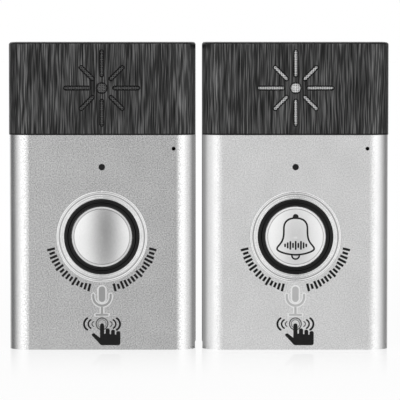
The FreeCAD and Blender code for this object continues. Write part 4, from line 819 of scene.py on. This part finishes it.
class DOORBELL_OT_finishes(bpy.types.Operator):
    """Gives every carried-over CAD piece its finish"""
    bl_idname = "doorbell.finishes"
    bl_label = "Finish the rigid pieces"

    def execute(self, context):
        case = context.scene.doorbell_case
        buttons = [(middle(f"{unit}_bezel_ring").x, middle(f"{unit}_bezel_ring").z) for unit in UNITS]
        abs_black = moulded("moulded_black_abs", "#1B1B1C", 0.52, 0.35 * MM, 0.02 * MM)
        rubber = moulded("moulded_silicone_rubber", "#151515", 0.62, 0.5 * MM, 0.01 * MM)
        zinc_black = turned_metal("black_zinc_steel", "#2A2A2C", 0.35, 0.12)
        nickel = turned_metal("nickel_plated_steel", "#B4B0A8", 0.25, 0.08, 0.4 * MM)
        finishes = {
            "front_frame": abs_black, "rear_case": abs_black, "battery_lid": abs_black,
            "power_knob": abs_black, "power_switch": abs_black, "tact_switch": abs_black,
            "speaker_basket": nickel, "battery_contacts": nickel, "antenna": nickel,
            "charging_socket": nickel, "radio_module": nickel,
            "board_screws": zinc_black, "case_screws": zinc_black, "lid_screws": zinc_black,
            "return_pad": rubber, "mic_boot": rubber, "lid_gasket": rubber,
            "bezel_ring": turned_metal("polished_bezel_aluminium", "#D2D2D2", 0.16, 0.06, 0.12 * MM,
                                       buttons),
            "button_ring": moulded("polished_black_abs", "#020202", 0.07, 3.0 * MM, 0.002 * MM, 1.3),
            "microphone": felted_capsule("felted_microphone_capsule"),
            "switch_plunger": moulded("white_acetal", "#D8D6CF", 0.4, 0.5 * MM, 0.004 * MM),
            "circuit_board": circuit_resist("green_solder_resist"),
            "light_pipe": smoked_plastic("smoked_polycarbonate"),
            "status_led": moulded("clear_led_epoxy", "#DAD8C6", 0.2, 0.4 * MM, 0.002 * MM),
            "speaker_cone": moulded("pressed_paper_cone", "#1D1C1B", 0.8, 0.3 * MM, 0.03 * MM),
            "speaker_magnet": moulded("sintered_ferrite", "#333336", 0.5, 0.25 * MM, 0.015 * MM),
            "speaker_leads": moulded("pvc_lead_insulation", "#8C1D1B", 0.4, 0.6 * MM, 0.005 * MM),
            "battery_cells": cell_sleeve("printed_cell_sleeve", low("indoor_battery_cells").z,
                                         high("indoor_battery_cells").z),
        }
        # Silver, matt share and sparkle of each shell; colour and roughness of each dome.
        looks = {"indoor": (case.indoor_silver, 0.0, 0.3, "#C8C8C8", 0.2),
                 "outdoor": (case.outdoor_silver, 0.17, 0.22, "#DCDCDC", 0.42)}
        for unit, (silver, matt, sparkle, dome, dull) in looks.items():
            cap = f"{unit}_top_cap"
            finishes[cap] = brushed_black(f"brushed_black_aluminium_{unit}", low(cap).z, high(cap).z)
            finishes[f"{unit}_front_shell"] = blasted_aluminium(
                f"blasted_aluminium_{unit}", tuple(silver), case.silver_roughness + matt, sparkle)
            # Each dome's flange gets a painted groove shade at 8.6 mm and a painted highlight outside it.
            finishes[f"{unit}_button_cap"] = turned_metal(
                f"spun_button_aluminium_{unit}", dome, dull, 0.04, 0.15 * MM, buttons, 8.6 * MM)
        for name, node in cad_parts.items():
            finish = finishes.get(name) or finishes.get(name.split("_", 1)[1])
            if finish is None:
                continue
            if not node.material_slots:
                node.data.materials.append(finish)
            for slot in node.material_slots:
                slot.material = finish
        return {"FINISHED"}


class DOORBELL_OT_speaker_mesh(bpy.types.Operator):
    """Weaves the wire mesh behind the sunburst of each unit"""
    bl_idname = "doorbell.speaker_mesh"
    bl_label = "Weave the speaker mesh"

    def execute(self, context):
        mesh = context.scene.doorbell_mesh
        tree = woven_mesh_tree()
        cloths = {"outdoor": (turned_metal("plain_wire_cloth", "#F2F2F2", 0.4, 0.1), "mesh_light"),
                  "indoor": (turned_metal("blackened_wire_cloth", "#6E6E6E", 0.4, 0.12), "mesh_dark")}
        behind, below_front, pressed_reach, weave = 0.125 * MM, 0.4 * MM, 12 * MM, 0.055 * MM
        for unit in UNITS:
            wires, slot = cloths[unit]
            node = f"{unit}_speaker_mesh"
            flat = middle(node)
            flat.y = low(node).y + behind
            raised = Vector((flat.x, low(f"{unit}_top_cap").y + below_front, flat.z))
            whole_reach = (high(node).x - low(node).x) / 2
            pieces = [baked(f"{unit}_{label}_mesh", tree, Radius=reach, Spacing=mesh.spacing,
                            Wire=mesh.wire, Weave=weave, Centre=centre, Material=wires)
                      for label, reach, centre in (("woven", whole_reach, flat),
                                                   ("pressed", pressed_reach, raised))]
            keep(pieces[0], body_name(unit), [node])
            cut_to_sunburst(pieces[1], raised, mesh.spacing)
            keep(pieces[1], body_name(unit))
        return {"FINISHED"}


class DOORBELL_OT_return_pads(bpy.types.Operator):
    """Moulds the rubber cone behind each button, which gives way when the button is pressed"""
    bl_idname = "doorbell.return_pads"
    bl_label = "Mould the return pads"

    def execute(self, context):
        rubber = moulded("moulded_silicone_pad", "#151515", 0.62, 0.5 * MM, 0.01 * MM)
        foot, wall, bead, travel, spare = 6.6 * MM, 0.7 * MM, 0.15 * MM, 0.5 * MM, 0.02 * MM
        for unit in UNITS:
            node = f"{unit}_return_pad"
            first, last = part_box(node)
            lip, front, back = (last.x - first.x) / 2, first.y, last.y
            profile = [(foot, back), (foot + 2 * wall, back), (foot + 2 * wall, back - wall),
                       (lip, front + wall), (lip, front + bead), (lip - bead, front),
                       (lip - 2 * wall + bead, front), (lip - 2 * wall, front + bead),
                       (lip - 2 * wall, front + wall), (foot, back - wall)]
            piece = lathed(f"{unit}_silicone_pad", profile, middle(node), rubber)
            keep(piece, body_name(unit), [node])
            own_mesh(piece)
        return {"FINISHED"}


class DOORBELL_OT_slot_edges(bpy.types.Operator):
    """Rings the slots and the hole of the sunburst with thin black edges on the front, a painted shadow
    outline, and lines them with black liners
    """
    bl_idname = "doorbell.slot_edges"
    bl_label = "Line the slots"

    def execute(self, context):
        edge = moulded("black_slot_liner_and_shadow_edge", "#070707", 0.6, 0.4 * MM, 0.004 * MM, 1.25)
        for unit in UNITS:
            cloth = f"{unit}_speaker_mesh"
            front = Vector((middle(cloth).x, low(f"{unit}_top_cap").y, middle(cloth).z))
            back = Vector((front.x, low(cloth).y - 0.02 * MM, front.z))
            depth = (low(cloth).y - front.y) / MM
            # The front edges ring is a painted shadow outline: a black band round each slot and the hole,
            # where their edges fall into shade. The liner is a black liner inside them.
            for label, outer, inner, origin, thickness in (("edges", 0.14, 0.0, front, 0.02),
                                                           ("liner", -0.01, -0.2, back, depth - 0.06)):
                loops = ring(0, HOLE_RADIUS + outer, HOLE_RADIUS + inner)
                for degrees, reach in SUNBURST:
                    for radius in (SLOT_RADIUS + outer, SLOT_RADIUS + inner):
                        loops.append(turned_by(stadium(SLOT_START, reach, radius), degrees))
                piece = sign(f"{unit}_slot_{label}", loops, origin, thickness, edge)
                keep(piece, body_name(unit))
        return {"FINISHED"}


class DOORBELL_OT_signs(bpy.types.Operator):
    """Prints the pressing hand and etches the microphone sign under each button"""
    bl_idname = "doorbell.signs"
    bl_label = "Print the signs"

    def execute(self, context):
        thick = context.scene.doorbell_signs.ink_thickness
        ink = printed_ink("black_screen_ink", "#040404")
        grey_ink = printed_ink("grey_screen_ink", "#4A4A4A")
        pale_ink = printed_ink("pale_screen_ink", "#7C7C7C")
        etches = {"outdoor": (turned_metal("bright_etch_outdoor", "#F0F0F0", 0.48, 0.04),
                              turned_metal("matt_etch_outdoor", "#C4C4C4", 0.4, 0.04)),
                  "indoor": (turned_metal("bright_etch_indoor", "#E6E6E6", 0.42, 0.04),
                             turned_metal("matt_etch_indoor", "#A6A6A6", 0.4, 0.04))}
        tip = 8.05
        hand = rounded([(-3.4, 4.7, 0.3), (-2.5, 5.2, 0.45), (-0.64, 3.7, 0.1), (-0.64, 8.2, 0.62),
                        (0.66, 8.2, 0.62), (0.66, 5.0, 0.1), (1.1, 5.0, 0.1), (1.1, 6.62, 0.58),
                        (2.4, 6.62, 0.58), (2.4, 4.85, 0.08), (2.8, 4.85, 0.08), (2.8, 6.24, 0.55),
                        (4.0, 6.24, 0.55), (4.0, 4.7, 0.08), (4.4, 4.7, 0.08), (4.4, 5.8, 0.55),
                        (5.7, 5.8, 0.55), (5.7, 1.4, 0.7), (-0.35, 1.4, 0.7)])
        shapes = [("hand_sign", [hand], thick, ink)]
        # Each pair of sound arcs: its distance from the tip, radius, half angle and width.
        for label, offset, radius, spread, width, finish in (("far", 3.48, 2.1, 58, 0.62, ink),
                                                             ("middle", 2.81, 1.46, 62, 0.5, ink),
                                                             ("near", 2.29, 0.81, 66, 0.34, grey_ink)):
            loops = []
            for side in (-1, 1):
                facing = 90 - side * 90
                points = arc(side * offset, tip - 0.05, radius, facing - spread, facing + spread)
                loops += stroke(points, width)
            shapes.append((f"{label}_waves", loops, thick * 0.6, finish))
        shapes.append(("press_ring", ring(tip, 2.0, 1.64), thick * 0.4, grey_ink))
        shapes.append(("press_ring_inner", ring(tip, 1.44, 1.12), thick * 0.4, pale_ink))
        yoke = [(-2.68, 17.1)] + arc(0, 16.4, 2.68, 180, 360) + [(2.68, 17.1)]
        outlines = [stadium(15.85, 18.7, 1.46), *stroke(yoke, 1.4), plate(0.75, 11.3, 13.2, 0.05),
                    plate(2.45, 10.35, 11.4, 0.35)]
        fills = [stadium(15.85, 18.7, 1.0), *stroke(yoke, 0.68), plate(0.34, 11.1, 13.3, 0.05),
                 plate(2.0, 10.55, 11.18, 0.12)]
        # Overlapping plates of a sign differ a little in thickness, so that no two tops are level.
        for unit in UNITS:
            bright, matt = etches[unit]
            etched = [(f"voice_{label}_{k}", [loop], base + 0.002 * k, finish)
                      for label, loops, base, finish in (("outline", outlines, 0.01, bright),
                                                         ("sign", fills, 0.02, matt))
                      for k, loop in enumerate(loops)]
            origin = Vector((middle(f"{unit}_front_shell").x, low(f"{unit}_front_shell").y, 0.0))
            for label, loops, height, finish in shapes + etched:
                piece = sign(f"{unit}_{label}", loops, origin, height, finish)
                keep(piece, body_name(unit))
        return {"FINISHED"}


class DOORBELL_OT_level_marks(bpy.types.Operator):
    """Prints the two arcs of sound-level bars under each button"""
    bl_idname = "doorbell.level_marks"
    bl_label = "Print the level marks"

    def execute(self, context):
        signs = context.scene.doorbell_signs
        ink = printed_ink("black_mark_ink", "#040404")
        tree = level_marks_tree()
        sink = 0.006
        for unit in UNITS:
            centre = middle(f"{unit}_bezel_ring")
            centre.y = low(f"{unit}_front_shell").y + sink * MM
            for side, sense, seed in (("left", -1, 0), ("right", 1, 5)):
                piece = baked(f"{unit}_level_marks_{side}", tree, Count=signs.mark_count,
                              Radius=signs.mark_radius, First=math.radians(14) * sense,
                              Last=math.radians(76) * sense, Width=0.76 * MM, Shortest=1.5 * MM,
                              Longest=2.8 * MM, Thickness=(signs.ink_thickness + sink) * MM,
                              Seed=signs.mark_seed + seed, Centre=centre, Material=ink)
                keep(piece, body_name(unit))
        return {"FINISHED"}


class DOORBELL_OT_bell_sign(bpy.types.Operator):
    """Draws the bell and its sound wave on the dome of the outdoor button"""
    bl_idname = "doorbell.bell_sign"
    bl_label = "Draw the bell"

    def execute(self, context):
        ink = printed_ink("black_button_ink", "#0C0C0C")
        node = "outdoor_button_cap"
        origin = Vector((middle(node).x, low(node).y, middle(node).z))
        dome, rise = 8.65, 1.3
        curve = (dome ** 2 + rise ** 2) / (2 * rise)

        def behind(across, height):
            return curve - math.sqrt(curve ** 2 - across ** 2 - height ** 2)

        right = (bend((0, 5.85), (2.4, 5.85), (3.65, 4.7), (3.65, 2.6))
                 + bend((3.65, 2.6), (3.65, 0.6), (3.7, -0.6), (4.5, -1.75))
                 + bend((4.5, -1.75), (5.05, -2.6), (5.85, -3.2), (5.75, -3.8), 6)
                 + bend((5.75, -3.8), (5.6, -4.5), (2.9, -5.5), (0.0, -5.55)))
        outline = right + [(0.0, -5.55)] + [(-x, z) for x, z in reversed(right[1:])]
        clapper = arc(0, -5.75, 1.15, 183, 357, 10)
        knob = [(-0.9, 5.95), (0.9, 5.95)] + arc(0, 6.2, 0.9, 10, 170, 12)
        bars = []
        for k, tall in enumerate((1.0, 1.8, 2.6, 1.5, 2.7, 1.5, 2.6, 1.8, 1.0)):
            across = (k - 4) * 0.82
            bar = stadium(-tall / 2 + 0.2, tall / 2 - 0.2, 0.27)
            bars.append([(x + across, z - 2.6) for x, z in bar])
        for label, loops in (("outline", stroke(outline, 0.54, closed=True)),
                             ("clapper", stroke(clapper, 0.5)), ("knob", [knob]), ("wave", bars)):
            piece = sign(f"outdoor_bell_{label}", loops, origin, 0.03, ink, behind)
            keep(piece, "outdoor_button")
        return {"FINISHED"}


class DOORBELL_OT_screws(bpy.types.Operator):
    """Fits pan-head screws in the case and the battery lid"""
    bl_idname = "doorbell.screws"
    bl_label = "Fit the screws"

    def execute(self, context):
        steel = turned_metal("black_oxide_screw_steel", "#3A3A3C", 0.32, 0.15)
        tree = screw_set_tree()
        head, head_height, shank = 1.9 * MM, 1.0 * MM, 1.0 * MM
        for unit in UNITS:
            for kind, body in (("case_screws", "case"), ("lid_screws", "lid")):
                node = f"{unit}_{kind}"
                first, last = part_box(node)
                seat = last.y - head_height
                shape = screw_mesh("screw_pattern", seat - first.y, shank, head, head_height)
                pattern = bpy.data.objects.new("screw_pattern", shape)
                rows = (first.z + head, last.z - head)
                sides = (first.x + head, last.x - head) if kind == "case_screws" else (middle(node).x,)
                seats = bpy.data.meshes.new("screw_seats")
                seats.from_pydata([(x, seat, z) for x in sides for z in rows], [], [])
                piece = baked(f"{unit}_pan_head_{kind}", tree, seats, Screw=pattern, Seed=3,
                              Material=steel)
                bpy.data.objects.remove(pattern)
                for face in piece.data.polygons:
                    face.use_smooth = True
                keep(piece, body_name(unit, body), [node])
        return {"FINISHED"}


class DOORBELL_OT_stage(bpy.types.Operator):
    """Lays the white floor, and sets the soft boxes, the surroundings and the camera"""
    bl_idname = "doorbell.stage"
    bl_label = "Set the stage"

    def execute(self, context):
        stage = context.scene.doorbell_stage
        self.floor()
        self.surroundings(context.scene)
        for side in (-1, 1):
            self.soft_box(side, stage.box_light)
        self.card()
        self.camera(context.scene, stage)
        context.scene.view_settings.view_transform = "Standard"
        return {"FINISHED"}

    def floor(self):
        """Glossy white acrylic sheet. It is white for the camera and in reflections, keeps a soft
        shadow, and mirrors the units faintly where they stand."""
        work = bmesh.new()
        bmesh.ops.create_grid(work, x_segments=8, y_segments=8, size=6.0)
        material, tree, shader, place = new_finish("white_acrylic_floor")
        feed(tree, shader, {"Base Color": linear("#F4F4F4"), "Roughness": 0.6})
        rays = add(tree, "ShaderNodeLightPath").outputs
        camera, glossy = rays["Is Camera Ray"], rays["Is Glossy Ray"]
        seen = add(tree, "ShaderNodeMath", {0: camera, 1: glossy}, operation="MAXIMUM")
        seen = add(tree, "ShaderNodeMath", {0: seen, 1: rays["Is Transmission Ray"]},
                   operation="MAXIMUM")
        glow = add(tree, "ShaderNodeEmission", {"Color": WHITE, "Strength": 1.0})
        away = add(tree, "ShaderNodeVectorMath", {0: place}, operation="LENGTH")
        near = add(tree, "ShaderNodeMapRange", {"Value": away, "From Min": 0.12, "From Max": 0.5,
                                                "To Min": 0.94, "To Max": 1.0})
        bright = add(tree, "ShaderNodeMath", {0: seen, 1: near}, operation="MULTIPLY")
        white = add(tree, "ShaderNodeMixShader", {0: bright, 1: shader, 2: glow})
        mirror = add(tree, "ShaderNodeBsdfGlossy", {"Color": WHITE, "Roughness": 0.03})
        depth = add(tree, "ShaderNodeSeparateXYZ", {0: place}).outputs["Y"]
        fade = add(tree, "ShaderNodeMapRange", {"Value": depth, "From Min": -0.11, "From Max": -0.012,
                                                "To Min": 0.0, "To Max": 0.42})
        fade = add(tree, "ShaderNodeMath", {0: fade, 1: 2.0}, operation="POWER")
        front = add(tree, "ShaderNodeMath", {0: fade, 1: camera}, operation="MULTIPLY")
        room = add(tree, "ShaderNodeMath", {0: glossy, 1: 0.9}, operation="MULTIPLY")
        shine = add(tree, "ShaderNodeMath", {0: front, 1: room})
        sheet = add(tree, "ShaderNodeMixShader", {0: shine, 1: white, 2: mirror})
        output = next(node for node in tree.nodes if node.type == "OUTPUT_MATERIAL")
        feed(tree, output, {"Surface": sheet})
        mesh_piece("studio_floor", work, material, smooth=False)

    def surroundings(self, scene):
        """The camera sees white. Reflections see a room: a dim gap behind the camera, a bright
        screen at each side of it, a dark stretch beside the pair and white behind it."""
        world = bpy.data.worlds.new("studio_room")
        scene.world = world
        world.use_nodes = True
        tree = world.node_tree
        tree.nodes.clear()
        rays = add(tree, "ShaderNodeLightPath").outputs
        heading = add(tree, "ShaderNodeTexCoord").outputs["Generated"]
        turned = add(tree, "ShaderNodeMapping", {"Vector": heading,
                                                 "Rotation": (0.0, 0.0, math.radians(GAP_TURN))})
        axes = add(tree, "ShaderNodeSeparateXYZ", {0: turned}).outputs
        lift = add(tree, "ShaderNodeMath", {0: axes["Z"], 1: 0.2}, operation="MULTIPLY")
        across = add(tree, "ShaderNodeCombineXYZ", {"X": axes["X"], "Z": lift})
        side = add(tree, "ShaderNodeVectorMath", {0: across}, operation="LENGTH")
        front = add(tree, "ShaderNodeMath", {0: axes["Y"], 1: -1.0}, operation="MULTIPLY")
        turn = add(tree, "ShaderNodeMath", {0: side, 1: front}, operation="ARCTAN2")
        share = add(tree, "ShaderNodeMath", {0: turn, 1: math.pi}, operation="DIVIDE")
        peak = max(level for _, level in ROOM)
        room = add(tree, "ShaderNodeValToRGB", {"Fac": share})
        ramp(room, [(degrees / 180, (level / peak,) * 3 + (1.0,)) for degrees, level in ROOM])
        reflected = add(tree, "ShaderNodeBackground", {"Color": room, "Strength": peak})
        plain = add(tree, "ShaderNodeMapRange", {"Value": rays["Is Camera Ray"], "To Min": 0.4,
                                                 "To Max": 1.0})
        back = add(tree, "ShaderNodeBackground", {"Color": WHITE, "Strength": plain})
        shiny = add(tree, "ShaderNodeMath", {0: rays["Is Glossy Ray"], 1: rays["Is Transmission Ray"]},
                    operation="MAXIMUM")
        both = add(tree, "ShaderNodeMixShader", {0: shiny, 1: back, 2: reflected})
        add(tree, "ShaderNodeOutputWorld", {"Surface": both})

    def soft_box(self, side, brightness):
        """A tall soft box beside the camera, turned to the pair."""
        wide, tall, away, height, aim = 0.62, 1.0, 0.95, 0.28, 0.12
        lamp = bpy.data.lights.new("soft_box", "AREA")
        lamp.shape = "RECTANGLE"
        lamp.size, lamp.size_y = wide, tall
        lamp.energy = brightness * math.pi * wide * tall
        box = bpy.data.objects.new("soft_box", lamp)
        turn = math.radians(31) * side
        spot = Vector((away * math.sin(turn), -away * math.cos(turn), height))
        box.matrix_world = facing_matrix(spot, Vector((0, 0, aim)))
        box.visible_camera = box.visible_glossy = False
        bpy.context.scene.collection.objects.link(box)

    def card(self):
        """A grey reflector card in the gap between the units. Only their inner sides see it, which
        would otherwise reflect each other until they are black."""
        tall, deep, back, centre = 93 * MM, 20 * MM, 0.5 * MM, 47 * MM
        upright = Matrix.Rotation(math.pi / 2, 3, "Y")
        work = bmesh.new()
        bmesh.ops.create_grid(work, x_segments=1, y_segments=1, size=0.5)
        bmesh.ops.scale(work, vec=(tall, deep, 1.0), verts=work.verts)
        bmesh.ops.rotate(work, cent=(0, 0, 0), matrix=upright, verts=work.verts)
        bmesh.ops.translate(work, vec=(0.0, back, centre), verts=work.verts)
        material, tree, shader, place = new_finish("grey_reflector_card")
        depth = add(tree, "ShaderNodeSeparateXYZ", {0: place}).outputs["Y"]
        fall = add(tree, "ShaderNodeMapRange", {"Value": depth, "From Min": -8.8 * MM,
                                                "From Max": -5.8 * MM, "To Min": 1.0, "To Max": 0.34})
        feed(tree, shader, {"Base Color": (0.0, 0.0, 0.0, 1.0), "Emission Color": WHITE,
                            "Emission Strength": fall})
        card = mesh_piece("reflector_card", work, material, smooth=False)
        card.visible_camera = card.visible_diffuse = card.visible_shadow = False
        card.visible_transmission = False

    def camera(self, scene, stage):
        """The photograph's view: level with the top of the units and tilted down a little."""
        eye = bpy.data.cameras.new("camera")
        eye.sensor_width = 36.0
        camera = bpy.data.objects.new("camera", eye)
        target = Vector((0.0004, -0.004, 0.0462))
        spot = Vector((target.x, target.y - stage.camera_distance, stage.camera_height))
        camera.matrix_world = facing_matrix(spot, target)
        eye.lens = eye.sensor_width * (target - spot).length / stage.view_width
        eye.clip_start, eye.clip_end = 0.01, 20.0
        scene.collection.objects.link(camera)
        scene.camera = camera


def facing_matrix(spot, target):
    """The place of a camera or lamp that stands at a spot and looks at a target."""
    return Matrix.Translation(spot) @ (target - spot).to_track_quat("-Z", "Y").to_matrix().to_4x4()


OPERATORS = [DOORBELL_OT_finishes, DOORBELL_OT_speaker_mesh, DOORBELL_OT_return_pads,
             DOORBELL_OT_slot_edges, DOORBELL_OT_signs, DOORBELL_OT_level_marks,
             DOORBELL_OT_bell_sign, DOORBELL_OT_screws, DOORBELL_OT_stage]
GROUPS = {"doorbell_case": DOORBELL_PG_case, "doorbell_mesh": DOORBELL_PG_mesh,
          "doorbell_signs": DOORBELL_PG_signs, "doorbell_stage": DOORBELL_PG_stage}


class DOORBELL_PT_panel(bpy.types.Panel):
    """Lists the settings and the steps that dress the doorbell pair"""
    bl_idname = "DOORBELL_PT_panel"
    bl_label = "Doorbell"
    bl_space_type = "VIEW_3D"
    bl_region_type = "UI"
    bl_category = "Doorbell"

    def draw(self, context):
        for name, group in GROUPS.items():
            column = self.layout.box().column(align=True)
            for key in group.__annotations__:
                column.prop(getattr(context.scene, name), key)
        for operator in OPERATORS:
            self.layout.operator(operator.bl_idname)


def register():
    for name, group in GROUPS.items():
        bpy.utils.register_class(group)
        setattr(bpy.types.Scene, name, bpy.props.PointerProperty(type=group))
    for item in OPERATORS + [DOORBELL_PT_panel]:
        bpy.utils.register_class(item)


def unregister():
    for item in [DOORBELL_PT_panel] + OPERATORS[::-1]:
        bpy.utils.unregister_class(item)
    for name, group in reversed(GROUPS.items()):
        delattr(bpy.types.Scene, name)
        bpy.utils.unregister_class(group)


def main():
    register()
    for operator in OPERATORS:
        getattr(bpy.ops.doorbell, operator.bl_idname.split(".")[1])()


if __name__ == "__main__":
    main()
